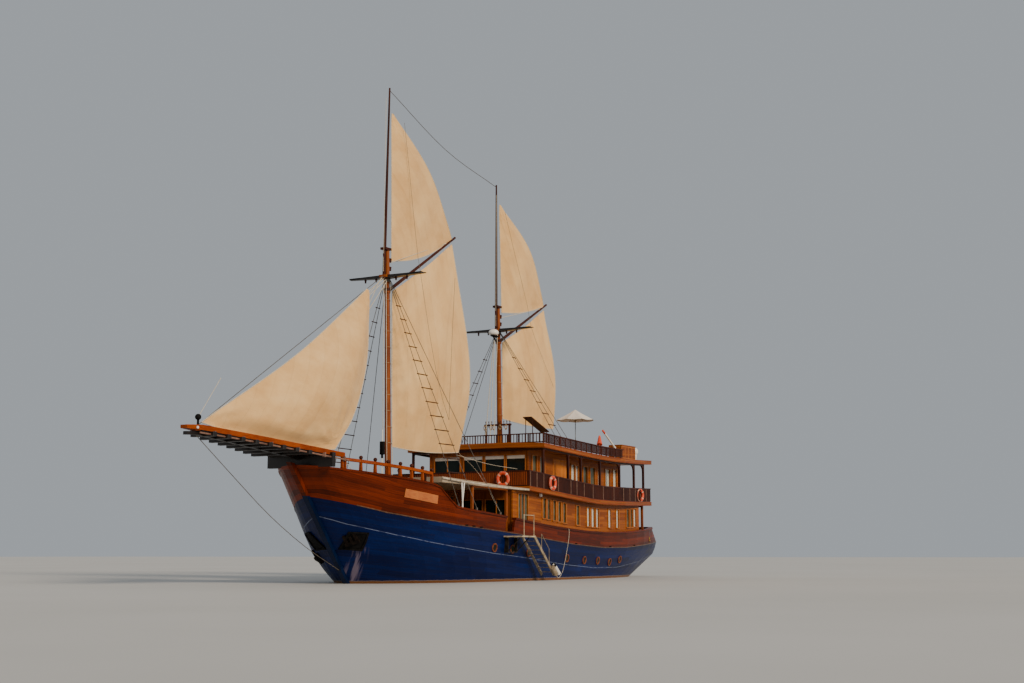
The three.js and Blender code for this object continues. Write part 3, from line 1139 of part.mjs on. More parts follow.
// Sun umbrella on the roof: a weighted base with a pole, and a shallow eight-sided canopy
const UMBRELLA = { x: -3900, y: 2900, apex: 8950, rim: 8370, radius: 1040, cloth: 12, pole: 22 };
const CANOPY_SIDES = 8;
function buildUmbrellaStand() {
  const { x, y, pole } = UMBRELLA;
  const floor = roofTopZ(x);
  const base = box(x - 260, x + 260, y - 260, y + 260, floor - 40, floor + 130);
  const slope = (UMBRELLA.apex - UMBRELLA.rim) / (UMBRELLA.radius * Math.cos(Math.PI / CANOPY_SIDES));
  const top = UMBRELLA.apex - UMBRELLA.cloth - pole * slope - SEAT;
  return seated(base, roof).add(rod([x, y, floor + 120], [x, y, top], pole, pole, 10));
}
addNode('umbrella_stand', buildUmbrellaStand(), STEEL);
function buildCanopy() {
  const { apex, rim, radius, cloth } = UMBRELLA;
  const profile = [[0, apex - cloth], [radius, rim - cloth], [radius, rim], [0, apex]];
  const geometry = new THREE.LatheGeometry(profile.map(([r, z]) => new THREE.Vector2(r, z)), CANOPY_SIDES);
  geometry.rotateX(Math.PI / 2);
  geometry.translate(UMBRELLA.x, UMBRELLA.y, 0);
  return solid(geometry);
}
addNode('umbrella_canopy', buildCanopy(), WHITE, group, 0.9);

export default group;
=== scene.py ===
# %% [markdown]
# ## Dressing a wooden charter yacht
# The yacht is already built as a set of plain solids: hull, houses, masts, sails, rails. This
# lesson gives it its looks. We load those solids as a fixed frame, then paint them, cut cloth for
# the sails, and fit the things a shipyard fits last: windows, slats, ropes, rings and lamps.
# Every length is in metres. +X is towards the bow, +Y is to port, and z = 0 is the water.

# %% Load the frame
import json
import math
import bpy
from mathutils import Matrix, Vector
from mathutils.bvhtree import BVHTree


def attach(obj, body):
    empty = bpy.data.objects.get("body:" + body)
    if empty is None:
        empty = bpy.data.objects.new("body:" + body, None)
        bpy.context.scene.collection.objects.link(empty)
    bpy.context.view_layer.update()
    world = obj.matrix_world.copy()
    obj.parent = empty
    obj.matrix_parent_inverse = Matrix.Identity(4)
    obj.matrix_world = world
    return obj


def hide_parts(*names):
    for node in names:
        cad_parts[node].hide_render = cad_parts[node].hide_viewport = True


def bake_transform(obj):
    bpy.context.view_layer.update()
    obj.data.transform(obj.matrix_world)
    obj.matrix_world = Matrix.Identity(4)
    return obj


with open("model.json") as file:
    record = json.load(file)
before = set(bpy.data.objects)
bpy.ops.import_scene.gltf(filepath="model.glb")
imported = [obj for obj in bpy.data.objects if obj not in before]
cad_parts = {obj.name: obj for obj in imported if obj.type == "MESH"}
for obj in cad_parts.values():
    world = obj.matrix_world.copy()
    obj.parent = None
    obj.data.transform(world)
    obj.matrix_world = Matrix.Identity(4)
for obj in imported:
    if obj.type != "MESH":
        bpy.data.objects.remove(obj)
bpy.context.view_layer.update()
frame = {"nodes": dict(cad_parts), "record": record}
nodes = frame["nodes"]
print("solids in the frame:", len(nodes))

# %% [markdown]
# ## Small tools for modelling
# Blender's operators act on whatever is selected, so the first helper clears the selection and
# the second picks only what we want. `pick` goes into edit mode with the faces that pass a test.

# %% Selecting, shaping and placing
def clear():
    if bpy.context.mode != "OBJECT":
        bpy.ops.object.mode_set(mode="OBJECT")
    bpy.ops.object.select_all(action="DESELECT")


def choose(*objects):
    clear()
    for item in objects:
        item.select_set(True)
    bpy.context.view_layer.objects.active = objects[0]


def pick(item, test):
    """Edit mode with only the faces selected whose centre and normal pass the test."""
    choose(item)
    bpy.context.tool_settings.mesh_select_mode = (False, False, True)
    bpy.ops.object.mode_set(mode="EDIT")
    bpy.ops.mesh.select_all(action="DESELECT")
    bpy.ops.object.mode_set(mode="OBJECT")
    for face in item.data.polygons:
        face.select = test(face.center, face.normal)
    bpy.ops.object.mode_set(mode="EDIT")


def modify(item, kind, **settings):
    choose(item)
    modifier = item.modifiers.new(kind.title(), kind)
    for key, value in settings.items():
        setattr(modifier, key, value)
    bpy.ops.object.modifier_apply(modifier=modifier.name)
    return item


def settle(item):
    """Puts an object's place, turn and size into its mesh."""
    choose(item)
    bpy.ops.object.transform_apply(location=True, rotation=True, scale=True)
    return item


def block(low, high, bevel=0.006):
    """A block between two corners with softened edges."""
    clear()
    low, high = Vector(low), Vector(high)
    bpy.ops.mesh.primitive_cube_add(size=1, location=(low + high) / 2, scale=high - low)
    item = settle(bpy.context.object)
    return modify(item, "BEVEL", width=bevel, segments=1) if bevel else item


def bar(start, end, radius, sides=8, end_radius=None):
    """A round bar from one point to another."""
    clear()
    start, end = Vector(start), Vector(end)
    bpy.ops.mesh.primitive_cone_add(
        vertices=sides, radius1=radius, radius2=radius if end_radius is None else end_radius,
        depth=(end - start).length, location=(start + end) / 2,
        rotation=(end - start).to_track_quat("Z", "Y").to_euler())
    return settle(bpy.context.object)


def ball(centre, radius, segments=20, rings=10):
    """A round ball."""
    clear()
    bpy.ops.mesh.primitive_uv_sphere_add(
        segments=segments, ring_count=rings, radius=radius, location=centre)
    return settle(bpy.context.object)


def torus(radius, thick, around, across):
    """A ring that lies flat at the origin."""
    clear()
    bpy.ops.mesh.primitive_torus_add(
        major_radius=radius, minor_radius=thick, major_segments=around, minor_segments=across)
    return bpy.context.object


def grid(columns, rows):
    """A flat square of side 1 at the origin, divided into a grid."""
    clear()
    bpy.ops.mesh.primitive_grid_add(x_subdivisions=columns, y_subdivisions=rows, size=1)
    return bpy.context.object


def copies(model, places):
    """One copy of the model for each matrix, every copy with a mesh of its own."""
    made = []
    for place in places:
        mesh = model.data.copy()
        mesh.transform(place)
        if place.determinant() < 0:
            mesh.flip_normals()
        twin = bpy.data.objects.new(model.name, mesh)
        bpy.context.scene.collection.objects.link(twin)
        made.append(twin)
    bpy.data.objects.remove(model)
    return made


def joined(items):
    if len(items) > 1:
        choose(*items)
        bpy.ops.object.join()
    return items[0]


def mirrored(item):
    """The same piece on the other side of the yacht."""
    return copies(item.copy(), [Matrix.Scale(-1, 4, (0, 1, 0))])[0]


def both(item):
    return joined([item, mirrored(item)])


def fit(item, name, finish, body="yacht", smooth=30):
    """Names a finished piece, gives it its finish, and lets it ride on its body, if it keeps to one."""
    settle(item)
    item.name = item.data.name = name
    if finish is not None:
        item.data.materials.clear()
        item.data.materials.append(finish)
    bpy.ops.object.shade_smooth_by_angle(angle=math.radians(smooth))
    if body:
        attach(item, body)
    print("fitted", name, len(item.data.polygons), "faces")
    return item


# %% [markdown]
# ## Reading the yacht's own lines
# Decks and rails of a wooden ship rise towards the bow; the builder calls that the sheer. We
# write the lines down once and read heights from them, so that each new piece sits on its deck.
# `on_skin` shoots a ray at a solid and says where its surface is.

# %% Lines of the decks, and rays onto the skin
SHEER = [(-14.54, 2.01), (-13.25, 1.92), (-11.07, 1.79), (-8.28, 1.64), (-5.0, 1.61), (-1.5, 1.76),
         (2.5, 2.07), (6.2, 2.33), (9.5, 2.545), (11.8, 2.78), (13.4, 3.01), (14.56, 3.29),
         (15.33, 3.48), (15.821, 3.64)]
CEILING = [(-12.5, 4.06), (-8.0, 3.93), (-4.2, 3.91), (-0.4, 4.1), (3.45, 4.31), (7.0, 4.39), (10.6, 4.44)]
ROOF_LINE = [(-12.6, 6.45), (-9.0, 6.31), (-5.8, 6.27), (-2.5, 6.35), (1.9, 6.5)]
UPPER_THICK, ROOF_THICK, MAST_RAKE = 0.22, 0.23, 0.029


def along(line, x):
    """Height of a line of (x, z) points at x."""
    for (x0, z0), (x1, z1) in zip(line, line[1:]):
        if x <= x1:
            break
    return z0 + (z1 - z0) * (x - x0) / (x1 - x0)


def deck_z(x):
    return along(SHEER, x)


def upper_z(x):
    return along(CEILING, x) + UPPER_THICK


def roof_top(x):
    return along(ROOF_LINE, x) + ROOF_THICK


def half_at(x):
    """Half width of the upper deck and of the roof."""
    return 4.0 if x > -8.0 else 4.0 - 0.4 * (-8.0 - x) / 4.5


def tree_of(*names):
    points, faces = [], []
    for name in names:
        start = len(points)
        mesh = nodes[name].data
        points += [v.co.copy() for v in mesh.vertices]
        faces += [[start + i for i in p.vertices] for p in mesh.polygons]
    return BVHTree.FromPolygons(points, faces)


hull_skin = tree_of("hull", "bulwark_port", "bulwark_starboard", "stem_post")


def on_skin(x, z, lift=0.0, skin=None):
    """The point and the normal of the port side at x and z."""
    point, normal, _, _ = (skin or hull_skin).ray_cast(Vector((x, 9, z)), Vector((0, -1, 0)))
    return point + normal * lift, normal


def leaning(mast_x, point):
    """A point given upright at the mast, leant and moved to the mast's place."""
    return Matrix.Rotation(MAST_RAKE, 4, "Y") @ Vector(point) + Vector((mast_x, 0, 0))


print("deck at the fore mast:", round(deck_z(9.64), 3), "m above the water")

# %% [markdown]
# ## Camera, floor and light
# A long lens low over the water looks at the port bow and slightly up. The floor lies at the
# waterline, so the underwater hull is hidden in the main picture but is there in the model.
# The light is plain and soft: one broad warm key from the port side, and an even pale sky.

# %% Camera, floor and lights
EYE = Vector((64.48, 36.17, 1.24))
LOOK_UP = math.radians(8.53)
camera_data = bpy.data.cameras.new("camera")
camera_data.lens, camera_data.sensor_width, camera_data.clip_end = 50, 36, 2000
camera = bpy.data.objects.new("camera", camera_data)
look = Vector((-0.8788 * math.cos(LOOK_UP), -0.4772 * math.cos(LOOK_UP), math.sin(LOOK_UP)))
camera.location = EYE
camera.rotation_euler = look.to_track_quat("-Z", "Y").to_euler()
bpy.context.scene.collection.objects.link(camera)
bpy.context.scene.camera = camera

FLOOR_HALF = 700
clear()
bpy.ops.mesh.primitive_plane_add(size=2 * FLOOR_HALF)
floor = bpy.context.object
floor.name = "floor"

sun_data = bpy.data.lights.new("key", "SUN")
sun_data.energy, sun_data.angle, sun_data.color = 3.1, math.radians(14), (1.0, 0.84, 0.66)
sun = bpy.data.objects.new("key", sun_data)
sun.rotation_euler = Vector((-0.32, -0.84, -0.44)).to_track_quat("-Z", "Y").to_euler()
bpy.context.scene.collection.objects.link(sun)

world = bpy.data.worlds.new("studio")
world.use_nodes = True
sky = world.node_tree.nodes["Background"]
sky.inputs["Color"].default_value = (0.80, 0.86, 0.92, 1)
sky.inputs["Strength"].default_value = 0.45
bpy.context.scene.world = world
print("camera at", tuple(round(v, 2) for v in EYE))

# %% [markdown]
# ## A smooth line through points
# Sails and ropes both follow smooth curves. We use a centripetal spline: it goes through every
# point and doesn't overshoot where the points are unevenly spaced.

# %% The spline
def between(p0, p1, p2, p3, t):
    """A point between p1 and p2 of a centripetal spline."""
    d0, d1, d2 = ((b - a).length ** 0.5 for a, b in ((p0, p1), (p1, p2), (p2, p3)))
    m1 = ((p1 - p0) / d0 - (p2 - p0) / (d0 + d1) + (p2 - p1) / d1) * d1
    m2 = ((p2 - p1) / d1 - (p3 - p1) / (d1 + d2) + (p3 - p2) / d2) * d1
    return p1 + m1 * t + (3 * (p2 - p1) - 2 * m1 - m2) * t ** 2 + (2 * (p1 - p2) + m1 + m2) * t ** 3


def spline(points, steps):
    """steps + 1 points along a smooth line through the given points."""
    points = [Vector(p) for p in points]
    points = [2 * points[0] - points[1], *points, 2 * points[-1] - points[-2]]
    made = []
    for i in range(steps + 1):
        place = i / steps * (len(points) - 3)
        start = min(int(place), len(points) - 4)
        made.append(between(*points[start:start + 4], place - start))
    return made


def tube(points, radius, steps=None, sides=3):
    """A rope or pipe: a curve object through the points, turned into a mesh tube."""
    run = spline(points, steps) if steps else [Vector(p) for p in points]
    curve = bpy.data.curves.new("tube", "CURVE")
    curve.dimensions, curve.bevel_depth, curve.bevel_resolution = "3D", radius, sides - 2
    curve.use_fill_caps = True
    line = curve.splines.new("POLY")
    line.points.add(len(run) - 1)
    for slot, point in zip(line.points, run):
        slot.co = (*point, 1)
    item = bpy.data.objects.new("tube", curve)
    bpy.context.scene.collection.objects.link(item)
    choose(item)
    bpy.ops.object.convert(target="MESH")
    return bpy.context.object


print("a spline point:", tuple(round(v, 2) for v in spline([(0, 0, 0), (1, 0, 1), (2, 0, 0)], 4)[1]))

# %% [markdown]
# ## Paints, varnish and cloth
# Each finish below starts from the real thing. One helper adds a shader node with its settings
# and links; another turns the usual sRGB hex colour into the linear values that shaders need.

# %% Colour and node helpers
def paint(code, alpha=1.0):
    """A linear colour from an sRGB hex code."""
    parts = [int(code[i:i + 2], 16) / 255 for i in (1, 3, 5)]
    return (*[c / 12.92 if c <= 0.04045 else ((c + 0.055) / 1.055) ** 2.4 for c in parts], alpha)


def add(tree, kind, inputs, out=0, ramp=(), curve=(), **settings):
    """Adds a node, sets it, links or fills its inputs, and returns one output socket."""
    node = tree.nodes.new("ShaderNode" + kind)
    for key, value in settings.items():
        setattr(node, key, value)
    for key, value in inputs.items():
        if isinstance(value, bpy.types.NodeSocket):
            tree.links.new(value, node.inputs[key])
        else:
            node.inputs[key].default_value = value
    for i, (place, code) in enumerate(ramp):
        stops = node.color_ramp.elements
        stop = stops[i] if i < 2 else stops.new(place)
        stop.position, stop.color = place, paint(code)
    for i, place in enumerate(curve):
        knots = node.mapping.curves[0].points
        knot = knots[i] if i < 2 else knots.new(*place)
        knot.location, knot.handle_type = place, "VECTOR"
    if curve:
        node.mapping.update()
    return node.outputs[out]


def new_finish(name, **sockets):
    """A material and its tree; the values go straight onto the shader's own sockets."""
    material = bpy.data.materials.new(name)
    material.use_nodes = True
    shader = material.node_tree.nodes["Principled BSDF"]
    for socket, value in sockets.items():
        shader.inputs[socket.replace("_", " ")].default_value = value
    return material, material.node_tree, shader


def wire(tree, shader, color=None, rough=None, height=None, depth=0.003):
    """Links a colour, a roughness and a bump height to the shader."""
    if color is not None:
        tree.links.new(color, shader.inputs["Base Color"])
    if rough is not None:
        tree.links.new(rough, shader.inputs["Roughness"])
    if height is not None:
        bump = add(tree, "Bump", {"Height": height, "Distance": depth})
        tree.links.new(bump, shader.inputs["Normal"])


UP_FACING = 0.75


def faces_up(tree):
    """1 where a surface looks at the sky, 0 elsewhere."""
    up = add(tree, "SeparateXYZ", {"Vector": add(tree, "NewGeometry", {}, "Normal")}, 2)
    return add(tree, "Math", {0: up, 1: UP_FACING}, operation="GREATER_THAN")


print("navy in linear light:", tuple(round(v, 3) for v in paint("#14244d")))

# %% [markdown]
# ## Planking
# Most of this yacht is planks: long boards with dark caulked seams, each board a little lighter
# or darker than the next. The seams follow the sheer, so the pattern needs the deck's line. We
# give that line to a Float Curve node and measure each point's height from it.
# The grain is noise stretched along the board; rain and sun show as broad soft stains.

# %% A planked finish
LINE_X = (-15.0, 18.0)
LINE_TOP = 8.0


def sheer_of(tree, x, line):
    """Height of a deck line at x, as a node output."""
    span = LINE_X[1] - LINE_X[0]
    part = add(tree, "MapRange", {"Value": x, "From Min": LINE_X[0], "From Max": LINE_X[1]})
    places = [((px - LINE_X[0]) / span, pz / LINE_TOP) for px, pz in line]
    ends = [(0, places[0][1]), (1, places[-1][1])]
    height = add(tree, "FloatCurve", {"Value": part}, curve=ends + places)
    return add(tree, "Math", {0: height, 1: LINE_TOP}, operation="MULTIPLY")


def above_line(tree, x, z, line):
    """How far a point lies above a deck line."""
    return add(tree, "Math", {0: z, 1: sheer_of(tree, x, line)}, operation="SUBTRACT")


def boards(tree, stops, board, across, lengthwise, seam=0.05, butt=4.0):
    """Colour, roughness and height of boards: width in metres, and the direction they run in."""
    count = add(tree, "Math", {0: across, 1: board}, operation="DIVIDE")
    number = add(tree, "Math", {0: count}, operation="FLOOR")
    part = add(tree, "Math", {0: count}, operation="FRACT")
    shift = add(tree, "TexWhiteNoise", {"W": number}, noise_dimensions="1D")
    run = add(tree, "Math", {0: lengthwise, 1: butt}, operation="DIVIDE")
    run = add(tree, "Math", {0: run, 1: shift}, operation="ADD")
    length_number = add(tree, "Math", {0: run}, operation="FLOOR")
    place = add(tree, "CombineXYZ", {0: number, 1: length_number})
    tone = add(tree, "TexWhiteNoise", {"Vector": place}, noise_dimensions="3D")
    grain_place = add(tree, "CombineXYZ", {0: lengthwise, 1: across, 2: tone})
    grain_place = add(tree, "Mapping", {"Vector": grain_place, "Scale": (0.9, 22, 40)})
    grain = add(tree, "TexNoise", {"Vector": grain_place, "Scale": 1.0, "Detail": 5.0, "Roughness": 0.6})
    stain_place = add(tree, "Mapping", {
        "Vector": add(tree, "TexCoord", {}, "Object"), "Scale": (0.35, 0.7, 0.9)})
    stain = add(tree, "TexNoise", {"Vector": stain_place, "Scale": 1.0, "Detail": 3.0})
    blend = add(tree, "Math", {0: grain, 1: 0.55}, operation="MULTIPLY")
    blend = add(tree, "Math", {0: tone, 1: 0.27, 2: blend}, operation="MULTIPLY_ADD")
    blend = add(tree, "Math", {0: stain, 1: 0.34, 2: blend}, operation="MULTIPLY_ADD")
    color = add(tree, "ValToRGB", {"Fac": blend}, ramp=stops)
    edge = add(tree, "Math", {0: part, 1: 0.5}, operation="SUBTRACT")
    edge = add(tree, "Math", {0: edge}, operation="ABSOLUTE")
    edge = add(tree, "MapRange", {"Value": edge, "From Min": 0.5 - seam, "From Max": 0.5})
    dark = add(tree, "Math", {0: edge, 1: -0.75, 2: 1.0}, operation="MULTIPLY_ADD")
    color = add(tree, "Mix", {0: 1.0, 6: color, 7: dark}, out=2, data_type="RGBA", blend_type="MULTIPLY")
    rough = add(tree, "MapRange", {"Value": grain, "To Min": 0.26, "To Max": 0.46})
    height = add(tree, "Math", {0: edge, 1: -1.0, 2: grain}, operation="MULTIPLY_ADD")
    return color, rough, height


def place_of(tree):
    """The x, y and z of a point as three outputs of one node."""
    split = add(tree, "SeparateXYZ", {"Vector": add(tree, "TexCoord", {}, "Object")}).node
    return split.outputs


def planked(name, stops, board, line=None, run="x", **sockets):
    """Boards that follow a deck line, or stand upright, or lie flat on a deck."""
    material, tree, shader = new_finish(name, **sockets)
    x, y, z = place_of(tree)
    if line:
        ways = above_line(tree, x, z, line), x
    else:
        ways = {"x": (y, x), "y": (z, y), "z": (x, z), "up": (y, z)}[run]
    wire(tree, shader, *boards(tree, stops, board, *ways), depth=0.004)
    return material


# Ironwood planking under several coats of varnish: red-brown, glossy, darker along the seams
RED_STOPS = [(0.2, "#240901"), (0.85, "#802c05"), (0.45, "#481502"), (0.62, "#601f03")]
red_planks = planked("varnished_ironwood_planking", RED_STOPS, 0.16, SHEER, Specular_IOR_Level=0.14)
# Teak joinery under varnish: orange-brown, finely grained
ORANGE_STOPS = [(0.2, "#542506"), (0.85, "#ac6019"), (0.5, "#82410c")]
house_planks = planked("varnished_teak_siding", ORANGE_STOPS, 0.13, CEILING, Specular_IOR_Level=0.14)
upright_planks = planked("varnished_teak_wainscot", ORANGE_STOPS, 0.11, run="up", Specular_IOR_Level=0.14)
# Bare teak decks, scrubbed and salt-dried, caulked with black
DECK_STOPS = [(0.2, "#6b4d30"), (0.85, "#ac8a60"), (0.5, "#8c6d48")]
deck_planks = planked("scrubbed_teak_deck", DECK_STOPS, 0.09, run="x")
# The roof: varnished siding along its edges, scrubbed teak where it faces the sky
roof_planks, tree, shader = new_finish("teak_roof_deck", Specular_IOR_Level=0.14)
x, y, z = place_of(tree)
above = above_line(tree, x, z, CEILING)
edge_color, edge_rough, _ = boards(tree, ORANGE_STOPS, 0.13, above, x)
top_color, top_rough, top_height = boards(tree, DECK_STOPS, 0.09, y, x)
top = faces_up(tree)
color = add(tree, "Mix", {0: top, 6: edge_color, 7: top_color}, out=2, data_type="RGBA")
rough = add(tree, "Mix", {0: top, 2: edge_rough, 3: top_rough}, data_type="FLOAT")
wire(tree, shader, color, rough, top_height, depth=0.003)
print("planked finishes:", red_planks.name, house_planks.name, deck_planks.name)

# %% [markdown]
# ## The hull: navy paint, teak deck and a worn waterline
# One solid carries three finishes, so one material sorts them out by place: teak where the
# surface faces up, red-brown bottom paint below the waterline, a pale copper line at the water,
# and gloss navy above. A thin cream line follows the sheer, as sign painters do it, by brush.
# Under the port anchor the chain has scraped pale streaks down to the water.

# %% Hull finish
PINSTRIPE = [(-14.6, 1.28), (-11.4, 0.86), (-7.4, 0.57), (-4.1, 0.57), (-0.5, 0.76), (3.5, 1.1), (6.5, 1.31),
             (9.5, 1.6), (11.0, 1.79), (12.7, 2.08), (13.7, 2.31), (14.5, 2.53), (15.2, 2.86)]
STRIPE_HALF, WATERLINE_PAINT = 0.011, 0.145
# Where the chain has scraped: a line that slants down from the anchor, and its highest point
SCRAPE_X, SCRAPE_TOP = 12.83, 1.6
hull_paint, tree, shader = new_finish("painted_hull_planking", Specular_IOR_Level=0.12)
x, y, z = place_of(tree)
above = above_line(tree, x, z, SHEER)
navy, navy_rough, navy_height = boards(
    tree, [(0.2, "#020727"), (0.85, "#081e59"), (0.5, "#04113d")], 0.19, above, x, seam=0.03)
teak, teak_rough, _ = boards(tree, DECK_STOPS, 0.09, y, x)
stripe = above_line(tree, x, z, PINSTRIPE)
stripe = add(tree, "Math", {0: add(tree, "Math", {0: stripe}, operation="ABSOLUTE"), 1: STRIPE_HALF},
             operation="LESS_THAN")
chips = add(tree, "TexNoise", {"Vector": add(tree, "TexCoord", {}, "Object"), "Scale": 3.0, "Detail": 6.0})
stripe = add(tree, "Math", {0: stripe, 1: add(tree, "MapRange", {
    "Value": chips, "From Min": 0.42, "From Max": 0.5, "To Min": 0.35})}, operation="MULTIPLY")
color = add(tree, "Mix", {0: stripe, 6: navy, 7: paint("#6a7690")}, out=2, data_type="RGBA")
slant = add(tree, "Math", {0: z, 1: -0.5, 2: x}, operation="MULTIPLY_ADD")
streak_place = add(tree, "CombineXYZ", {
    0: slant, 1: add(tree, "Math", {0: z, 1: 0.06}, operation="MULTIPLY")})
streaks = add(tree, "TexNoise", {"Vector": streak_place, "Scale": 11.0, "Detail": 3.0})
streaks = add(tree, "MapRange", {"Value": streaks, "From Min": 0.46, "From Max": 0.6})
off = add(tree, "Math", {0: slant, 1: SCRAPE_X}, operation="SUBTRACT")
off = add(tree, "Math", {0: off}, operation="ABSOLUTE")
band = add(tree, "MapRange", {"Value": off, "From Min": 0.24, "From Max": 0.08})
below = add(tree, "MapRange", {"Value": z, "From Min": SCRAPE_TOP, "From Max": SCRAPE_TOP - 0.2})
port = add(tree, "Math", {0: y, 1: 0.0}, operation="GREATER_THAN")
for mask in (band, below, port):
    streaks = add(tree, "Math", {0: streaks, 1: mask}, operation="MULTIPLY")
color = add(tree, "Mix", {0: streaks, 6: color, 7: paint("#6f6478")}, out=2, data_type="RGBA")
wave = add(tree, "Math", {0: chips, 1: 0.05, 2: z}, operation="MULTIPLY_ADD")
boot = add(tree, "ValToRGB", {"Fac": add(tree, "MapRange", {
    "Value": wave, "From Min": -0.2, "From Max": 0.3})}, ramp=[
        (0.0, "#39170d"), (1.0, "#c4bcb3"), (0.45, "#39170d"), (0.5, "#7c5331"), (0.66, "#5c3924"),
        (0.7, "#c4bcb3")])
bottom = add(tree, "Math", {0: wave, 1: WATERLINE_PAINT}, operation="LESS_THAN")
color = add(tree, "Mix", {0: bottom, 6: color, 7: boot}, out=2, data_type="RGBA")
deck = faces_up(tree)
color = add(tree, "Mix", {0: deck, 6: color, 7: teak}, out=2, data_type="RGBA")
rough = add(tree, "Mix", {0: deck, 2: navy_rough, 3: teak_rough}, data_type="FLOAT")
wire(tree, shader, color, rough, navy_height, depth=0.003)
print("hull finish:", hull_paint.name)

# %% [markdown]
# The stem post is the same timber as the hull, painted up to the blue line and varnished above
# it. Along its very edge the navy turns lighter: a painted highlight, where the edge catches the light.

# %% Stem finish
STEM_PAINT_TOP = 3.68
stem_paint, tree, shader = new_finish("painted_stem", Specular_IOR_Level=0.12)
x, y, z = place_of(tree)
navy, navy_rough, navy_height = boards(tree, [(0.2, "#02091e"), (0.85, "#091c40")], 0.3, x, z, seam=0.01)
red, _, _ = boards(tree, RED_STOPS, 0.3, x, z, seam=0.01)
upper = add(tree, "Math", {0: z, 1: STEM_PAINT_TOP}, operation="GREATER_THAN")
# Painted highlight: towards the stem's very edge the navy is mixed lighter, as where the edge catches the
# light
side = add(tree, "Math", {0: y}, operation="ABSOLUTE")
pale = add(tree, "MapRange", {"Value": side, "From Min": 0.13, "From Max": 0.05})
pale = add(tree, "Math", {0: pale, 1: 0.2}, operation="MULTIPLY")
color = add(tree, "Mix", {0: pale, 6: navy, 7: paint("#1d2f52")}, out=2, data_type="RGBA")
color = add(tree, "Mix", {0: upper, 6: color, 7: red}, out=2, data_type="RGBA")
wire(tree, shader, color, navy_rough, navy_height)
print("stem finish:", stem_paint.name)

# %% [markdown]
# ## Wood in one piece
# Spars, rails and posts are single timbers, not planking. Their grain runs along them: upright
# for masts, fore-and-aft for rails. Dark stained slats and orange varnished trim are the same
# recipe with other colours.

# %% Spar and trim finishes
def timber(name, stops, run, **sockets):
    """One piece of wood whose grain runs along x, y or z."""
    material, tree, shader = new_finish(name, **sockets)
    scale = {"x": (0.7, 16, 16), "y": (16, 0.7, 16), "z": (16, 16, 0.7)}[run]
    place = add(tree, "Mapping", {"Vector": add(tree, "TexCoord", {}, "Object"), "Scale": scale})
    grain = add(tree, "TexNoise", {"Vector": place, "Scale": 1.0, "Detail": 6.0, "Roughness": 0.62})
    broad = add(tree, "TexNoise", {"Vector": add(tree, "TexCoord", {}, "Object"), "Scale": 0.8})
    blend = add(tree, "Math", {0: broad, 1: 0.45, 2: add(
        tree, "Math", {0: grain, 1: 0.6}, operation="MULTIPLY")}, operation="MULTIPLY_ADD")
    color = add(tree, "ValToRGB", {"Fac": blend}, ramp=stops)
    rough = add(tree, "MapRange", {"Value": grain, "To Min": 0.28, "To Max": 0.5})
    wire(tree, shader, color, rough, grain, depth=0.002)
    return material


# Mast of one trunk, planed round and varnished: honey to red-brown with long streaks
mast_wood = timber("varnished_mast_trunk", [(0.3, "#562206"), (0.75, "#a55c20"), (0.5, "#7e3c0f")], "z",
                   Specular_IOR_Level=0.2)
# The same trunk with its crosstrees, which are tarred black beyond the mast's own width
rigged_mast = timber(
    "mast_with_tarred_crosstrees", [(0.3, "#562205"), (0.75, "#a55c1d"), (0.5, "#7e3c0d")], "z",
    Specular_IOR_Level=0.2)
tree = rigged_mast.node_tree
shader = tree.nodes["Principled BSDF"]
varnished = shader.inputs["Base Color"].links[0].from_socket
x, y, z = place_of(tree)
TAR_FROM = 0.23
out = add(tree, "Math", {0: y}, operation="ABSOLUTE")
arm = add(tree, "Math", {0: out, 1: TAR_FROM}, operation="GREATER_THAN")
wire(tree, shader, add(tree, "Mix", {0: arm, 6: varnished, 7: paint("#15100c")}, out=2, data_type="RGBA"))
# Varnished rails, beams and fascias: orange where the sun catches them
trim_wood = timber("varnished_trim", [(0.3, "#652204"), (0.75, "#a64f11"), (0.5, "#853707")], "x",
                   Specular_IOR_Level=0.14)
# Window casings, varnished more often than the walls: lighter and glossier
frame_wood = timber("varnished_window_frames", [(0.3, "#7c3a10"), (0.75, "#c27830")], "z",
                    Specular_IOR_Level=0.2)
# Stained slats and posts: dark red-brown, satin
dark_wood = timber("dark_stained_slats", [(0.3, "#200b05"), (0.75, "#4b2010"), (0.5, "#341408")], "z",
                   Specular_IOR_Level=0.15)
dark_rail = timber("dark_stained_rail", [(0.3, "#260e06"), (0.75, "#572915"), (0.5, "#3d180c")], "x",
                   Specular_IOR_Level=0.15)
# Tarred softwood: black-brown, with only a little grain showing. On the bowsprit this black is also painted
# shade of its underside.
black_wood = timber("tarred_spar_and_painted_shade", [(0.3, "#0b0806"), (0.75, "#201610")], "x")
# Fresh varnish on door battens: the lightest orange on board
shutter_wood = timber("varnished_shutter", [(0.3, "#8f4408"), (0.75, "#d8862a"), (0.5, "#b46414")], "z",
                      Specular_IOR_Level=0.2)
print("timbers:", mast_wood.name, trim_wood.name, dark_wood.name)

# %% [markdown]
# ## Painted metal, rope, glass and plastic
# None of these is one flat colour on a working boat. Paint chalks and yellows in patches, zinc
# on steel wire is mottled, rope has a twist, foam rings fade where the sun gets at them.

# %% Mottled finishes
def mottled(name, light, dark, scale, rough=(0.3, 0.5), depth=0.0, **sockets):
    """A finish that wanders between two colours; scale is in patches per metre."""
    material, tree, shader = new_finish(name, **sockets)
    place = add(tree, "TexCoord", {}, "Object")
    broad = add(tree, "TexNoise", {"Vector": place, "Scale": scale, "Detail": 5.0, "Roughness": 0.6})
    color = add(tree, "ValToRGB", {"Fac": broad}, ramp=[(0.35, dark), (0.65, light)])
    shine = add(tree, "MapRange", {"Value": broad, "To Min": rough[0], "To Max": rough[1]})
    wire(tree, shader, color, shine, broad if depth else None, depth)
    return material


# Oil paint gone chalky in the sun: warm white, yellowed in patches
white_paint = mottled("chalked_white_paint", "#e4ddd0", "#c3b8a6", 2.0)
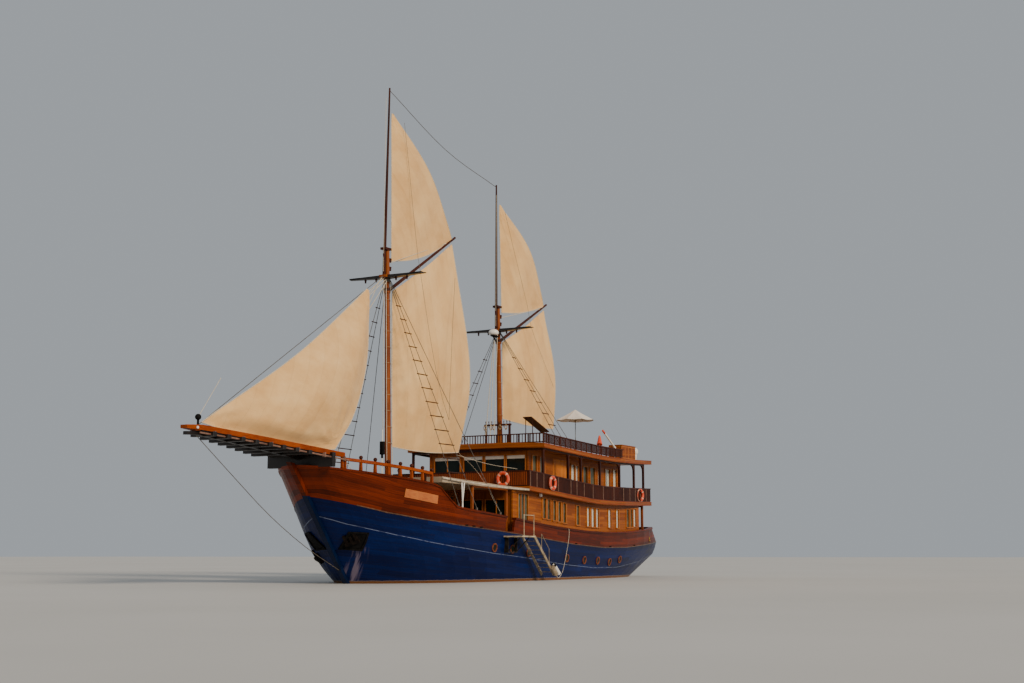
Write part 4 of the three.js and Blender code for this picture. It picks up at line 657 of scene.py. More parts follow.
# Hot-dipped zinc: dull grey with a fine mottle
galvanised = mottled("galvanised_steel", "#8d9092", "#64686b", 14.0, (0.35, 0.55), Metallic=0.9)
# Steel wire rope, greased and weathered: brown-grey, hardly any shine
wire_rope = mottled("weathered_wire_rope", "#696259", "#3f3a34", 9.0, (0.5, 0.7), 0.002)
# Tarred cast iron with rust coming through: nearly black, rough
anchor_iron = mottled("rusty_anchor_iron", "#241b17", "#0b0909", 7.0, (0.6, 0.85), 0.004,
                      Specular_IOR_Level=0.08)
# Cast bronze turned green-brown by the sea, and spun copper around the portholes
bronze = mottled("sea_worn_bronze", "#a37a3e", "#5c5a3a", 5.0, (0.3, 0.5), 0.001, Metallic=1.0)
copper_rim = mottled("weathered_copper_rim", "#94532e", "#5c2c17", 9.0, (0.4, 0.6), Metallic=0.4)
# Foam under a vinyl skin, orange faded to coral, with tape that took on its colour
ring_foam = mottled("faded_orange_foam", "#e8552e", "#c43a1c", 5.0, (0.5, 0.7), 0.001)
ring_tape = mottled("faded_ring_tape", "#eebca6", "#d99c82", 12.0, (0.45, 0.6))
# Moulded plastic, near white and even, with a soft shine
moulding = mottled("white_moulded_plastic", "#f0eee9", "#dcd7cf", 3.0, (0.25, 0.35))
# Black rubber and tarred iron plates: no shine at all
soot_black = mottled("black_rubber", "#191818", "#0a090a", 6.0, (0.6, 0.8), 0.002, Specular_IOR_Level=0.08)
# Float glass with a dark room behind it: green-black and glossy
tinted_glass = mottled("tinted_window_glass", "#18221e", "#0c1210", 0.9, (0.1, 0.22), Specular_IOR_Level=0.14)
# Cabin glass with a pale lining close behind it: olive grey
cabin_glass = mottled("lined_cabin_glass", "#63624c", "#34382e", 1.7, (0.1, 0.22), Specular_IOR_Level=0.3)
# Clear glass in front of a curtain: mostly see-through, with the shine of its surface
clear_glass = mottled("clear_window_glass", "#cfd8d2", "#b8c4bd", 0.9, (0.04, 0.1), Alpha=0.25)
# Bleached cordage and bleached hardwood: cream and tan, quite matt
line_white = mottled("bleached_rope", "#ddd3bf", "#a99c86", 30.0, (0.8, 0.95), 0.002)
batten_wood = mottled("bleached_ratline_batten", "#b49468", "#7d603f", 10.0, (0.6, 0.8))
# The platform: tarred legs up to this height, and white posts above it, gone grey-brown from use
LEGS_TOP = 2.04
worn_platform, tree, shader = new_finish(
    "platform_paint_and_tarred_legs", Roughness=0.6, Specular_IOR_Level=0.2)
x, y, z = place_of(tree)
wear = add(tree, "TexNoise", {"Vector": add(tree, "TexCoord", {}, "Object"), "Scale": 5.0, "Detail": 4.0})
legs = add(tree, "ValToRGB", {"Fac": wear}, ramp=[(0.35, "#14110e"), (0.65, "#2c2721")])
posts = add(tree, "ValToRGB", {"Fac": wear}, ramp=[(0.35, "#8f7f68"), (0.65, "#c9b899")])
over = add(tree, "Math", {0: z, 1: LEGS_TOP}, operation="GREATER_THAN")
wire(tree, shader, add(tree, "Mix", {0: over, 6: legs, 7: posts}, out=2, data_type="RGBA"))
# The ladder's paint, worn by feet to the wood, and the awning's canvas: grey-tan rather than white, as
# painted shade of its underside, which is seen from below
worn_ladder = mottled("worn_ladder_paint", "#a5947a", "#655844", 5.0, (0.5, 0.7))
awning_painted_shade = mottled("awning_canvas_painted_shade", "#a99a84", "#93826b", 1.5, (0.6, 0.8))
print("mottled finishes:", white_paint.name, ring_foam.name, tinted_glass.name)

# %% [markdown]
# Laid rope shows as slanting strands. The cord's own UV map runs around and along it, so a wave
# across that map gives the twist. 24 mm rope has a strand about every 30 mm; that would vanish
# at this distance, so it is drawn at twice that size.

# %% Rope and cloth finishes
rope_finish, tree, shader = new_finish("laid_rope", Roughness=0.9)
uv = add(tree, "TexCoord", {}, "UV")
twist = add(tree, "Mapping", {"Vector": uv, "Scale": (2.0, 60.0, 1), "Rotation": (0, 0, 0.6)})
strands = add(tree, "TexWave", {"Vector": twist, "Scale": 1.0, "Distortion": 0.4})
color = add(tree, "ValToRGB", {"Fac": strands}, ramp=[(0.1, "#8f8471"), (0.8, "#ded5c2")])
wire(tree, shader, color, None, strands, 0.004)


def cloth(name, stops, panel, weave, **sockets):
    """Woven cloth on a UV map in metres: seams every panel width, and a weave of that pitch."""
    material, tree, shader = new_finish(name, **sockets)
    uv = add(tree, "TexCoord", {}, "UV")
    u, v, _ = add(tree, "SeparateXYZ", {"Vector": uv}).node.outputs
    count = add(tree, "Math", {0: u, 1: panel}, operation="DIVIDE")
    part = add(tree, "Math", {0: count}, operation="FRACT")
    number = add(tree, "Math", {0: count}, operation="FLOOR")
    tone = add(tree, "TexWhiteNoise", {"W": number}, noise_dimensions="1D")
    seam = add(tree, "MapRange", {
        "Value": part, "From Min": 0.0, "From Max": 0.045, "To Min": 1.0, "To Max": 0.0})
    stain = add(tree, "TexNoise", {"Vector": uv, "Scale": 0.45, "Detail": 6.0, "Roughness": 0.65})
    blend = add(tree, "Math", {0: tone, 1: 0.07, 2: add(
        tree, "Math", {0: stain, 1: 0.84}, operation="MULTIPLY")}, operation="MULTIPLY_ADD")
    color = add(tree, "ValToRGB", {"Fac": blend}, ramp=stops)
    dark = add(tree, "Math", {0: seam, 1: -0.1, 2: 1.0}, operation="MULTIPLY_ADD")
    color = add(tree, "Mix", {0: 1.0, 6: color, 7: dark}, out=2, data_type="RGBA", blend_type="MULTIPLY")
    warp = add(tree, "Math", {0: add(tree, "Math", {0: u, 1: weave}, operation="MULTIPLY")}, operation="SINE")
    weft = add(tree, "Math", {0: add(tree, "Math", {0: v, 1: weave}, operation="MULTIPLY")}, operation="SINE")
    threads = add(tree, "Math", {0: warp, 1: weft}, operation="MULTIPLY")
    height = add(tree, "Math", {0: threads, 1: 0.12, 2: add(
        tree, "Math", {0: seam, 1: 0.8, 2: stain}, operation="MULTIPLY_ADD")}, operation="MULTIPLY_ADD")
    wire(tree, shader, color, None, height, 0.006)
    return material


# Cotton canvas sails: cream, sun-tanned, sewn from upright cloths 0.7 m wide, matt and soft.
# The thread is far below a pixel, so the weave is drawn at 25 mm to give the surface some tooth.
WEAVE = 2 * math.pi / 0.025
sail_cloth = cloth("cotton_sail_canvas", [(0.3, "#d6a566"), (0.72, "#f6d092"), (0.5, "#e8bc7d")], 0.7, WEAVE,
                   Roughness=0.9, Sheen_Weight=0.2)
curtain_cloth = cloth("white_curtain_cotton", [(0.3, "#ddd6c8"), (0.72, "#f5f0e6")], 0.5, WEAVE,
                      Roughness=0.9)
umbrella_cloth = cloth("white_umbrella_canvas", [(0.3, "#d9d0c6"), (0.72, "#f3ede4")], 0.8, WEAVE,
                       Roughness=0.85)

# A pale studio floor with a faint unevenness
floor_finish = mottled("studio_floor", "#c9c8c4", "#c2c1bd", 0.05, (0.7, 0.8))
floor.data.materials.append(floor_finish)
print("cloths:", sail_cloth.name, curtain_cloth.name, umbrella_cloth.name)

# %% [markdown]
# ## The boarding rope, first of all the small things
# A thick white rope hangs from the rail's cap in a lazy curve and comes back to the foot of the
# boarding ladder. It is a cord of a real length, so it is made before anything else.

# %% Boarding rope
ROPE_POINTS = [
    (-0.62, 4.0645, 2.515), (-0.619, 4.088, 2.514), (-0.6, 4.122, 2.46), (-0.53, 4.15, 2.29),
    (-0.42, 4.185, 2.06), (-0.2, 4.24, 1.72), (0.1, 4.315, 1.36), (0.48, 4.43, 1.01), (0.9, 4.56, 0.7),
    (1.35, 4.7, 0.43), (1.7, 4.79, 0.27), (1.96, 4.845, 0.175), (2.12, 4.872, 0.142), (2.215, 4.882, 0.152),
    (2.2753, 4.885, 0.1881), (2.32, 4.885, 0.2282),
]
ROPE_RADIUS = 0.012
rope_path = spline(ROPE_POINTS, 72)
rope = tube(ROPE_POINTS, ROPE_RADIUS, 72, 4)
fit(rope, "boarding_rope", rope_finish)
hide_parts("ladder_rope")

# %% [markdown]
# ## Finishes for the frame's own solids
# Every solid gets a finish. The table below says which; whatever isn't named in it takes the
# finish of its slot in the record.

# %% Paint the solids
BY_SLOT = {
    "hull_paint": hull_paint, "varnish": trim_wood, "house_timber": house_planks, "teak": deck_planks,
    "dark_wood": dark_wood, "shutter": shutter_wood, "canvas": sail_cloth, "white_paint": white_paint,
    "steel": galvanised, "bronze": bronze, "rope": rope_finish,
}
BY_NODE = {
    "stem_post": stem_paint, "bulwark_port": red_planks, "bulwark_starboard": red_planks,
    # The bowsprit's planks take the black-brown finish as painted shade of their underside, seen from below
    "stern_bulwark": red_planks, "forecastle_bulkhead": upright_planks, "bowsprit_planks": black_wood,
    "lower_house_front": upright_planks, "lower_house_aft": upright_planks, "upper_house_aft": upright_planks,
    "upper_house_front": upright_planks, "upper_rail": dark_rail, "roof_rail": dark_rail,
    "fore_mast": rigged_mast,
    "mizzen_mast": rigged_mast, "aft_deck_posts": mast_wood, "awning_posts": mast_wood,
    "fore_gaff": dark_rail, "mizzen_gaff": dark_rail, "fore_shrouds": wire_rope, "mizzen_shrouds": wire_rope,
    "forestay": wire_rope, "bobstay": wire_rope, "triatic_stay": wire_rope, "anchor_port": anchor_iron,
    "anchor_starboard": anchor_iron, "boarding_platform": worn_platform, "boarding_ladder": worn_ladder,
    # The awning deck takes grey-tan canvas: painted shade of its underside
    "awning_deck": awning_painted_shade, "roof": roof_planks,
}
slots = {row["node"]: row["material_slot"] for row in frame["record"]["subparts"]}
for name, node in nodes.items():
    node.data.materials.clear()
    node.data.materials.append(BY_NODE.get(name, BY_SLOT[slots[name]]))
print("finishes given to", len(nodes), "solids")

# %% [markdown]
# ## Cutting the sails
# A sail hangs between a luff, the edge at the mast or stay, and a leech, the free edge behind.
# The wind gives it a belly. We start from a flat grid, move its points onto that shape row by
# row, and lay its UV map out in metres, measured from the leech, so the seams of the cloths run
# beside the leech as a sailmaker sews them. Folds pull away from the loaded corners.
# A cloth simulation would be slow at this size and wouldn't show; the shape is set in code.

# %% A sail and its bolt rope
ROWS, COLUMNS = 56, 40


def sail_shape(luff, leech, belly, droop, folds, mast_x=None, slack=0.0, roll=0.0):
    """A function from (u, v) to a point: u runs from luff to leech, v from foot to head."""
    luff_run, leech_run = spline(luff, ROWS), spline(leech, ROWS)

    def shape(u, v):
        row = round(v * ROWS)
        point = luff_run[row].lerp(leech_run[row], u)
        middle = math.sin(math.pi * u)
        point.y += belly * max(math.sin(math.pi * v), 0) ** 0.7 * middle
        point.z -= (droop * (1 - v) ** 3 + slack * v ** 9) * middle
        for corner, reach, amount, waves in folds:
            away = point - Vector(corner)
            turn = math.atan2(away.z, away.x)
            size = away.length
            point.y += amount * math.sin(turn * waves) * min(size / 0.5, 1) * math.exp(-((size / reach) ** 2))
        if roll and v < 0.1:
            point.y -= roll * middle ** 0.6 * math.sin(math.pi * (v / 0.1) ** 0.6)
        point.y += 0.018 * math.sin(3.1 * point.x + 1.7 * point.z) * middle
        return leaning(mast_x, point) if mast_x is not None else point

    return shape


def cut_sail(name, shape, body):
    """A grid moved onto the shape, with its bolt rope, and a UV map laid out in metres."""
    item = grid(COLUMNS, ROWS)
    mesh = item.data
    flat = [(v.co.x + 0.5, v.co.y + 0.5) for v in mesh.vertices]
    for vertex, (u, v) in zip(mesh.vertices, flat):
        vertex.co = shape(u, v)
    rows = [[shape(i / COLUMNS, r / ROWS) for i in range(COLUMNS + 1)] for r in range(ROWS + 1)]
    widths = [sum((b - a).length for a, b in zip(row, row[1:])) for row in rows]
    luff_length = sum((b[0] - a[0]).length for a, b in zip(rows, rows[1:]))
    leech_length = sum((b[-1] - a[-1]).length for a, b in zip(rows, rows[1:]))
    for loop in mesh.loops:
        u, v = flat[loop.vertex_index]
        mesh.uv_layers[0].data[loop.index].uv = ((1 - u) * widths[round(v * ROWS)], v * luff_length)
    mesh.update()
    modify(item, "SOLIDIFY", thickness=0.006, offset=0)
    fit(item, name, sail_cloth, body, 60)
    steps = [i / 14 for i in range(15)]
    rounds = {
        "foot": [shape(t, 0) for t in steps], "luff": [shape(0, round(t * ROWS) / ROWS) for t in steps],
        "leech": [shape(1, round(t * ROWS) / ROWS) for t in steps],
    }
    edges = joined([tube(run, 0.022, 56, 3) for run in rounds.values()])
    fit(edges, name + "_bolt_rope", line_white, body)
    return item


# %% [markdown]
# Both masts carry the same two sails: a gaff sail below the slanting spar, and a topsail above
# it. They swing with the gaff, so they ride on its body. The numbers are the mast's own: heights
# along it, and distances aft of its middle.

# %% Gaff sails and topsails
FORE = dict(
    x=9.64, jaw=13.45, inner=0.134, end=(-6.21, 16.95), tack=(-0.34, 6.16), clew=(-6.23, 6.09),
    leech=(-6.15, 0.82, 9.7), belly=0.3, droop=0.12, top_head=(-0.43, 22.0), top_foot=(-0.34, 14.85),
    top_clew=(-5.9, 16.98), top_leech=(0.56, 0.2, 0.2), top_belly=0.16, top_droop=0.34)
MIZZEN = dict(
    x=-0.99, jaw=12.45, inner=0.122, end=(-5.63, 15.08), tack=(-0.33, 8.34), clew=(-6.1, 8.07),
    leech=(-6.05, 0.26, 11.0), belly=0.23, droop=0.08, top_head=(-0.3, 19.85), top_foot=(-0.36, 14.0),
    top_clew=(-5.3, 15.01), top_leech=(0.6, 0.23, 0.3), top_belly=0.16, top_droop=0.16)


def rig_sails(name, m):
    body = name + "_gaff_set"
    slope = (m["end"][1] - m["jaw"]) / (m["end"][0] + m["inner"] + 0.03)
    gaff_z = lambda x: m["jaw"] + slope * (x + m["inner"] + 0.03)
    throat = (-0.42, 0, gaff_z(-0.42) - 0.16)
    peak_x = m["end"][0] + 0.32
    peak = (peak_x, 0, gaff_z(peak_x) - 0.21)
    tack = (m["tack"][0], 0, m["tack"][1])
    clew = (m["clew"][0], 0.06, m["clew"][1])
    luff = [tack, (-0.37, 0, (tack[2] + throat[2]) / 2), throat]
    folds = [(clew, 1.7, 0.03, 13), (peak, 1.8, 0.03, 15), (throat, 1.2, 0.02, 13)]
    shape = sail_shape(luff, [clew, m["leech"], peak], m["belly"], m["droop"], folds, m["x"], slack=0.1)
    cut_sail(name + "_gaff_sail_cloth", shape, body)
    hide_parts(name + "_gaff_sail")
    head = (m["top_head"][0] - 0.13, 0, m["top_head"][1])
    part, out, up = m["top_leech"]
    middle_z = (m["top_clew"][1] + m["top_head"][1]) / 2 + up
    middle = ((m["top_clew"][0] + m["top_head"][0]) * part, out, middle_z)
    top_clew = (m["top_clew"][0], 0, gaff_z(m["top_clew"][0]) + 0.02)
    luff = [(m["top_foot"][0], 0, m["top_foot"][1]), (m["top_head"][0], 0, m["top_head"][1])]
    folds = [(top_clew, 1.6, 0.035, 15), (luff[1], 2.2, 0.025, 17)]
    shape = sail_shape(luff, [top_clew, middle, head], m["top_belly"], m["top_droop"], folds, m["x"])
    cut_sail(name + "_topsail_cloth", shape, body)
    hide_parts(name + "_topsail")


rig_sails("fore", FORE)
rig_sails("mizzen", MIZZEN)

# %% [markdown]
# The jib is a triangle on the stay between the bowsprit and the fore mast. Its foot is long and
# slack: the lowest cloth rolls inwards and throws a shadow under the belly, which `roll` gives.

# %% Jib
STAY_TOP, STAY_FOOT = (10.4, 14.04), (23.43, 5.74)
JIB_TACK_X, JIB_HEAD_X = 22.65, 11.7
JIB_CLEW = (14.6, 0.45, 5.7)


def stay_z(x):
    return along([STAY_TOP, STAY_FOOT], x)


jib_tack, jib_head = (JIB_TACK_X, 0, stay_z(JIB_TACK_X)), (JIB_HEAD_X, 0, stay_z(JIB_HEAD_X))
jib_leech = [JIB_CLEW, (13.35, 0.5, 7.25), (12.33, 0.45, 9.6), (JIB_HEAD_X - 0.16, 0, jib_head[2] - 0.06)]
jib_folds = [(JIB_CLEW, 2.2, 0.05, 15), (jib_tack, 2.6, 0.04, 21), (jib_head, 2.4, 0.03, 17)]
jib_shape = sail_shape([jib_tack, (17.15, 0.35, 9.56), jib_head], jib_leech, 0.62, 0.36, jib_folds, roll=0.26)
jib_cloth = cut_sail("jib_cloth", jib_shape, "yacht")
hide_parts("jib")

# %% [markdown]
# ## On the hull
# Copper-rimmed portholes sit along the side below the deck. One is modelled lying on the ground
# looking up, then copied to each place and turned to face the way the hull faces there. The
# other side of a ship is a mirror image, so every piece here is made twice.

# %% Portholes
PORTHOLES = [(6.49, 1.57), (4.89, 1.51), (3.32, 1.35), (-0.74, 1.08), (-2.78, 0.97), (-4.48, 0.94),
             (-6.13, 0.86), (-7.58, 0.99)]
PORTHOLE_RADIUS = 0.21


def facing(point, normal, spin=0.0):
    """A matrix that puts a piece modelled looking up onto a point, looking along the normal."""
    return Matrix.Translation(point) @ normal.to_track_quat("Z", "Y").to_matrix().to_4x4() @ Matrix.Rotation(
        spin, 4, "Z")


clear()
bpy.ops.mesh.primitive_cylinder_add(vertices=28, radius=PORTHOLE_RADIUS, depth=0.1)
porthole = bpy.context.object
is_front = lambda centre, normal: normal.z > 0.9
pick(porthole, is_front)
bpy.ops.mesh.inset(thickness=0.055)
bpy.ops.mesh.extrude_region_move(TRANSFORM_OT_translate={"value": (0, 0, -0.03)})
bpy.ops.mesh.inset(thickness=0.012)
bpy.ops.object.mode_set(mode="OBJECT")
modify(porthole, "BEVEL", width=0.006, segments=2, limit_method="ANGLE", angle_limit=math.radians(40))
porthole.data.materials.append(copper_rim)
porthole.data.materials.append(tinted_glass)
for face in porthole.data.polygons:
    reach = math.hypot(face.center.x, face.center.y)
    face.material_index = int(face.normal.z > 0.9 and face.center.z < 0.04 and reach < PORTHOLE_RADIUS - 0.07)
places = []
for x, z in PORTHOLES:
    point, normal = on_skin(x, z)
    for side in (1, -1):
        flip = Vector((1, side, 1))
        places.append(facing(point * flip, normal * flip))
fit(joined(copies(porthole, places)), "portholes", None)

# %% [markdown]
# A plate that lies on a curved side is a grid whose points are dropped onto the skin, then
# thickened. The bare name board, the anchor's rubbing plate and the scuppers are made like that.

# %% Plates on the skin
def patch(corners, lift, thick, columns=14, rows=4):
    """A plate on the port side over four (x, z) corners: low aft, low fore, high fore, high aft."""
    item = grid(columns, rows)
    low_aft, low_fore, high_fore, high_aft = [Vector(corner) for corner in corners]
    for vertex in item.data.vertices:
        u, v = vertex.co.x + 0.5, vertex.co.y + 0.5
        x, z = low_aft.lerp(low_fore, u).lerp(high_aft.lerp(high_fore, u), v)
        vertex.co = on_skin(x, z, lift)[0]
    item.data.update()
    if sum(face.normal.y for face in item.data.polygons) < 0:
        item.data.flip_normals()
    modify(item, "SOLIDIFY", thickness=thick, offset=1)
    return modify(item, "BEVEL", width=0.005, segments=1, limit_method="ANGLE", angle_limit=math.radians(50))


name_board = patch([(11.06, 3.44), (12.88, 3.69), (12.92, 4.05), (11.1, 3.81)], 0.004, 0.03)
name_wood = timber("varnished_name_board", [(0.3, "#9a4a1c"), (0.75, "#c87a36"), (0.5, "#b3622a")], "x",
                   Coat_Weight=0.3)
fit(both(name_board), "bare_name_boards", name_wood)
PLATE = [Vector(p) for p in ((13.48, 1.42), (13.98, 1.5), (14.27, 2.22), (13.7, 2.18))]
RIM = 0.06
pocket = [patch(PLATE, 0.004, 0.02)]
for i in range(4):
    start, end = PLATE[i], PLATE[(i + 1) % 4]
    inward = ((PLATE[0] + PLATE[2]) / 2 - (start + end) / 2).normalized() * RIM
    pocket.append(patch([start, end, end + inward, start + inward], 0.02, 0.05, 8, 1))
fit(both(joined(pocket)), "anchor_plates", soot_black)
scuppers = []
for x in (8.75, 8.2, 7.6, 2.0, -1.8, -6.0, -9.5):
    low, fore = deck_z(x) + 0.03, x + 0.22
    scuppers.append(patch([(x, low), (fore, low), (fore, low + 0.06), (x, low + 0.06)], 0.002, 0.02, 4, 2))
fit(both(joined(scuppers)), "scupper_flaps", soot_black)
print("plates:", len(pocket), "for an anchor,", len(scuppers), "scuppers on a side")

# %% [markdown]
# Where the painted planks end and the varnished ones begin runs a narrow rubbing strake: a tube
# laid along the skin and half sunk in it.

# %% Strakes and hawse rings
STRAKE_STEPS = [(-14.2 + 0.6 * i) for i in range(50)]
strake = tube([on_skin(x, deck_z(x) + 0.012)[0] for x in STRAKE_STEPS if x < 15.2], 0.026, sides=3)
fit(both(strake), "rubbing_strakes", mottled("worn_strake_paint", "#6b4f38", "#3a2415", 3.0))
HAWSE_X, HAWSE_Z, HAWSE_STRETCH = -12.3, 2.12, 1.5
hawse_place = facing(*on_skin(HAWSE_X, HAWSE_Z)) @ Matrix.Scale(HAWSE_STRETCH, 4, (0, 1, 0))
hawse = copies(torus(0.1, 0.028, 20, 8), [hawse_place])[0]
fit(both(hawse), "hawse_rings", bronze, smooth=60)
print("strake laid over", len(STRAKE_STEPS), "stations")

# %% [markdown]
# ## Bow and bowsprit
# Under each beam of the bowsprit runs a thin pipe for the feet, held by clips. Black-brown boards
# between the beams are painted shade of the underside. The first rail posts end in timber heads, which take
# the lines.

# %% Bowsprit decking, pipes, lamp and timber heads
SPRIT_TOP = [(15.6, 5.46), (19.6, 5.83), (22.9, 6.11), (23.64, 6.07)]
BEAM_HIGH, PIPE_OUT, PIPE_DROP = 0.2, 0.13, 0.3


def sprit(x):
    """Distance from the middle, and height, of the top of a bowsprit beam."""
    return 0.095 + 1.545 * (23.64 - x) / 8.04, along(SPRIT_TOP, x)


# Boards laid side by side under the beams, black-brown: painted shade of the bowsprit's underside seen from
# below
shade_boards = grid(24, 8)
for vertex in shade_boards.data.vertices:
    x = 16.3 + 6.6 * (vertex.co.x + 0.5)
    beam_y, beam_z = sprit(x)
    vertex.co = x, 2 * vertex.co.y * (beam_y + 0.02), beam_z - BEAM_HIGH - 0.008
modify(shade_boards, "SOLIDIFY", thickness=0.03, offset=-1)
fit(shade_boards, "bowsprit_shade_boards", black_wood)
pipe_points = []
for x in (23.1, 21.0, 19.0, 17.0, 15.4):
    beam_y, beam_z = sprit(x)
    pipe_points.append((x, beam_y + PIPE_OUT, beam_z - PIPE_DROP))
pipe = [tube(pipe_points, 0.034, 24)]
for x in (22.4, 21.0, 19.6, 18.2, 16.8, 15.7):
    beam_y, beam_z = sprit(x)
    clip_out = beam_y + PIPE_OUT + 0.04
    pipe.append(block((x - 0.03, beam_y + 0.02, beam_z - 0.36), (x + 0.03, clip_out, beam_z - 0.17)))
fit(joined(pipe), "bowsprit_foot_pipe", mottled("pink_grey_pipe_paint", "#8d6a58", "#5e4034", 4.0))


def tops(node, x, reach=0.07):
    """The middle of the highest points of a solid's port side near x."""
    near = [v.co for v in nodes[node].data.vertices if abs(v.co.x - x) < reach and v.co.y > 0]
    height = max(p.z for p in near)
    near = [p for p in near if p.z > height - 0.01]
    return sum(near, Vector()) / len(near)


heads = []
for x in (14.974, 14.4, 13.82, 13.247, 12.671, 12.096, 11.52):
    place = tops("forecastle_rail_port", x)
    heads.append(bar(place - Vector((0, 0, 0.05)), place + Vector((0, 0, 0.05)), 0.06, 12, 0.05))
    heads.append(ball(place + Vector((0, 0, 0.09)), 0.085, 14, 8))
fit(both(joined(heads)), "timber_heads", dark_rail, smooth=70)
lamp = block((23.12, 0.24, 5.94), (23.22, 0.31, 6.04), 0.02)
fit(lamp, "bowsprit_lamp", moulding)
drum = joined([ball((22.85, 0, 6.42), 0.12, 20, 12), bar((22.85, 0, 5.95), (22.85, 0, 6.36), 0.045, 10)])
fit(drum, "tack_drum", soot_black, smooth=60)
fit(bar((22.82, 0, 6.45), (21.6, 0, 8.05), 0.012, 6), "tack_whip", line_white)
print("bowsprit pieces: decking, pipes, heads, lamp, drum and whip")

# %% [markdown]
# ## Windows
# Joiners nail a casing of four boards around each opening, with a sill that throws off the rain,
# and set a pane in the middle of the wall. Windows differ only in size, so one function makes any
# of them. Side walls run along x; the walls across the ship are the same thing turned.

# %% A window
CASING, WIDE_CASING, PROUD, SETBACK = 0.055, 0.085, 0.03, 0.045


def on_wall(turned, along_wall, outward, height, bevel=0.006):
    """A block given as three (low, high) pairs: along the wall, outward from the middle, and up."""
    spans = (outward, along_wall, height) if turned else (along_wall, outward, height)
    return block([min(s) for s in spans], [max(s) for s in spans], bevel)


def casing(turned, a0, a1, z0, z1, face, out=1, bars=0, wide=CASING):
    """Casing boards, a sill and glazing bars around an opening whose outer face is given."""
    deep = face - 0.01 * out, face + PROUD * out
    lying = face - 0.01 * out, face + 2 * PROUD * out
    boards_made = [
        on_wall(turned, (a0 - wide, a0), deep, (z0, z1)), on_wall(turned, (a1, a1 + wide), deep, (z0, z1)),
        on_wall(turned, (a0 - wide, a1 + wide), deep, (z1, z1 + CASING)),
        on_wall(turned, (a0 - wide - 0.01, a1 + wide + 0.01), lying, (z0 - CASING, z0)),
    ]
    for i in range(bars):
        middle = a0 + (a1 - a0) * (i + 1) / (bars + 1)
        bar_width = middle - 0.02, middle + 0.02
        boards_made.append(on_wall(turned, bar_width, (face - 0.06 * out, face), (z0, z1)))
    return boards_made


def pane(turned, a0, a1, z0, z1, face, out=1):
    depth = face - SETBACK * out, face - (SETBACK + 0.006) * out
    return on_wall(turned, (a0 - 0.004, a1 + 0.004), depth, (z0 - 0.004, z1 + 0.004), 0)


# %% [markdown]
# Behind some panes hang white curtains. A curtain is a flat cloth wider than its window, gathered
# into even folds, so its cut width is the length of the wavy line and not the window's width.

# %% A curtain or blind
def curtain(name, x0, x1, z0, z1, y, folds, turned=False):
    """A cloth between x0 and x1, hung from z1 to z0; folds is how many waves it is gathered into."""
    wide, tall = x1 - x0, z1 - z0
    item = grid(max(8 * folds, 4), 6)
    steps = 8 * max(folds, 1)
    wave = lambda u: 0.011 * math.sin(2 * math.pi * folds * u)
    length = sum(math.hypot(wide / steps, wave((i + 1) / steps) - wave(i / steps)) for i in range(steps))
    for loop in item.data.loops:
        co = item.data.vertices[loop.vertex_index].co
        item.data.uv_layers[0].data[loop.index].uv = (co.x + 0.5) * length, (co.y + 0.5) * tall
    for vertex in item.data.vertices:
        u, v = vertex.co.x + 0.5, vertex.co.y + 0.5
        depth = y + wave(u) * (1.1 - 0.4 * v) if folds else y + 0.004 * math.sin(math.pi * v)
        vertex.co = (depth, x0 + wide * u, z0 + tall * v) if turned else (x0 + wide * u, depth, z0 + tall * v)
    item.data.update()
    modify(item, "SOLIDIFY", thickness=0.003, offset=0)
    fit(item, name, curtain_cloth, smooth=60)
    return round(length, 3), round(tall, 3)


# %% [markdown]
# The long walls of both deckhouses carry tall narrow windows. Each has a clear or a tinted pane,
# and the cabins behind have their curtains drawn.

# %% Windows of the long walls
LOWER_Y, UPPER_Y, WALL = 3.55, 2.9, 0.09
LOWER_TINTED = [(0.87, 1.19), (0.39, 0.70), (-0.23, 0.08), (-0.80, -0.48), (-1.37, -1.05), (-2.95, -2.60),
                (-9.38, -9.01), (-9.84, -9.53)]
LOWER_CURTAINED = [(-4.21, -3.88), (-4.81, -4.43), (-5.34, -5.00), (-6.94, -6.56), (-7.94, -7.60),
                   (-10.33, -9.97)]
UPPER_TINTED = [(0.62, 1.05), (-0.25, 0.25), (-5.29, -4.81), (-6.27, -5.69)]
UPPER_CURTAINED = [(-3.77, -3.34), (-4.21, -3.89), (-6.93, -6.65), (-8.24, -7.64), (-9.13, -8.67)]
# spans, floor line, sill and head above the floor, the wall's outer face, and whether curtains hang there
SIDE_WINDOWS = [
    (LOWER_TINTED, deck_z, 1.08, 2.06, LOWER_Y, False), (LOWER_CURTAINED, deck_z, 1.08, 2.06, LOWER_Y, True),
    ([(2.8, 3.8)], deck_z, 0.75, 2.02, LOWER_Y, False), (UPPER_TINTED, upper_z, 0.85, 1.8, UPPER_Y, False),
    (UPPER_CURTAINED, upper_z, 0.85, 1.8, UPPER_Y, True),
]
frames, tinted, clear_panes, curtains = [], [], [], []
for spans, floor_line, sill, head, face, curtained in SIDE_WINDOWS:
    for x0, x1 in spans:
        foot = floor_line((x0 + x1) / 2)
        opening = x0, x1, foot + sill, foot + head
        bars = 2 if x1 - x0 > 0.9 else 0
        wide = WIDE_CASING if -1.5 < x0 < 1 else CASING
        frames += casing(False, *opening, face, bars=bars, wide=wide)
        (clear_panes if curtained else tinted).append(pane(False, *opening, face))
        if curtained:
            curtains.append((face, *opening))
fit(both(joined(frames)), "side_window_casings", frame_wood)
fit(both(joined(tinted)), "tinted_side_panes", cabin_glass)
fit(both(joined(clear_panes)), "clear_side_panes", clear_glass)
for number, (face, x0, x1, z0, z1) in enumerate(curtains):
    for side, sign in (("port", 1), ("starboard", -1)):
        cut = curtain(f"curtain_{side}_{number + 1}", x0 + 0.006, x1 - 0.006, z0 + 0.01, z1 - 0.004,
                      sign * (face - 0.07), 4)
    print("curtain", number + 1, "cut", cut, "m")

# %% [markdown]
# The walls across the ship have wide windows. Those of the upper house look forward and have
# roller blinds, let down a hand's breadth. The saloon's are tall panes beside its door.

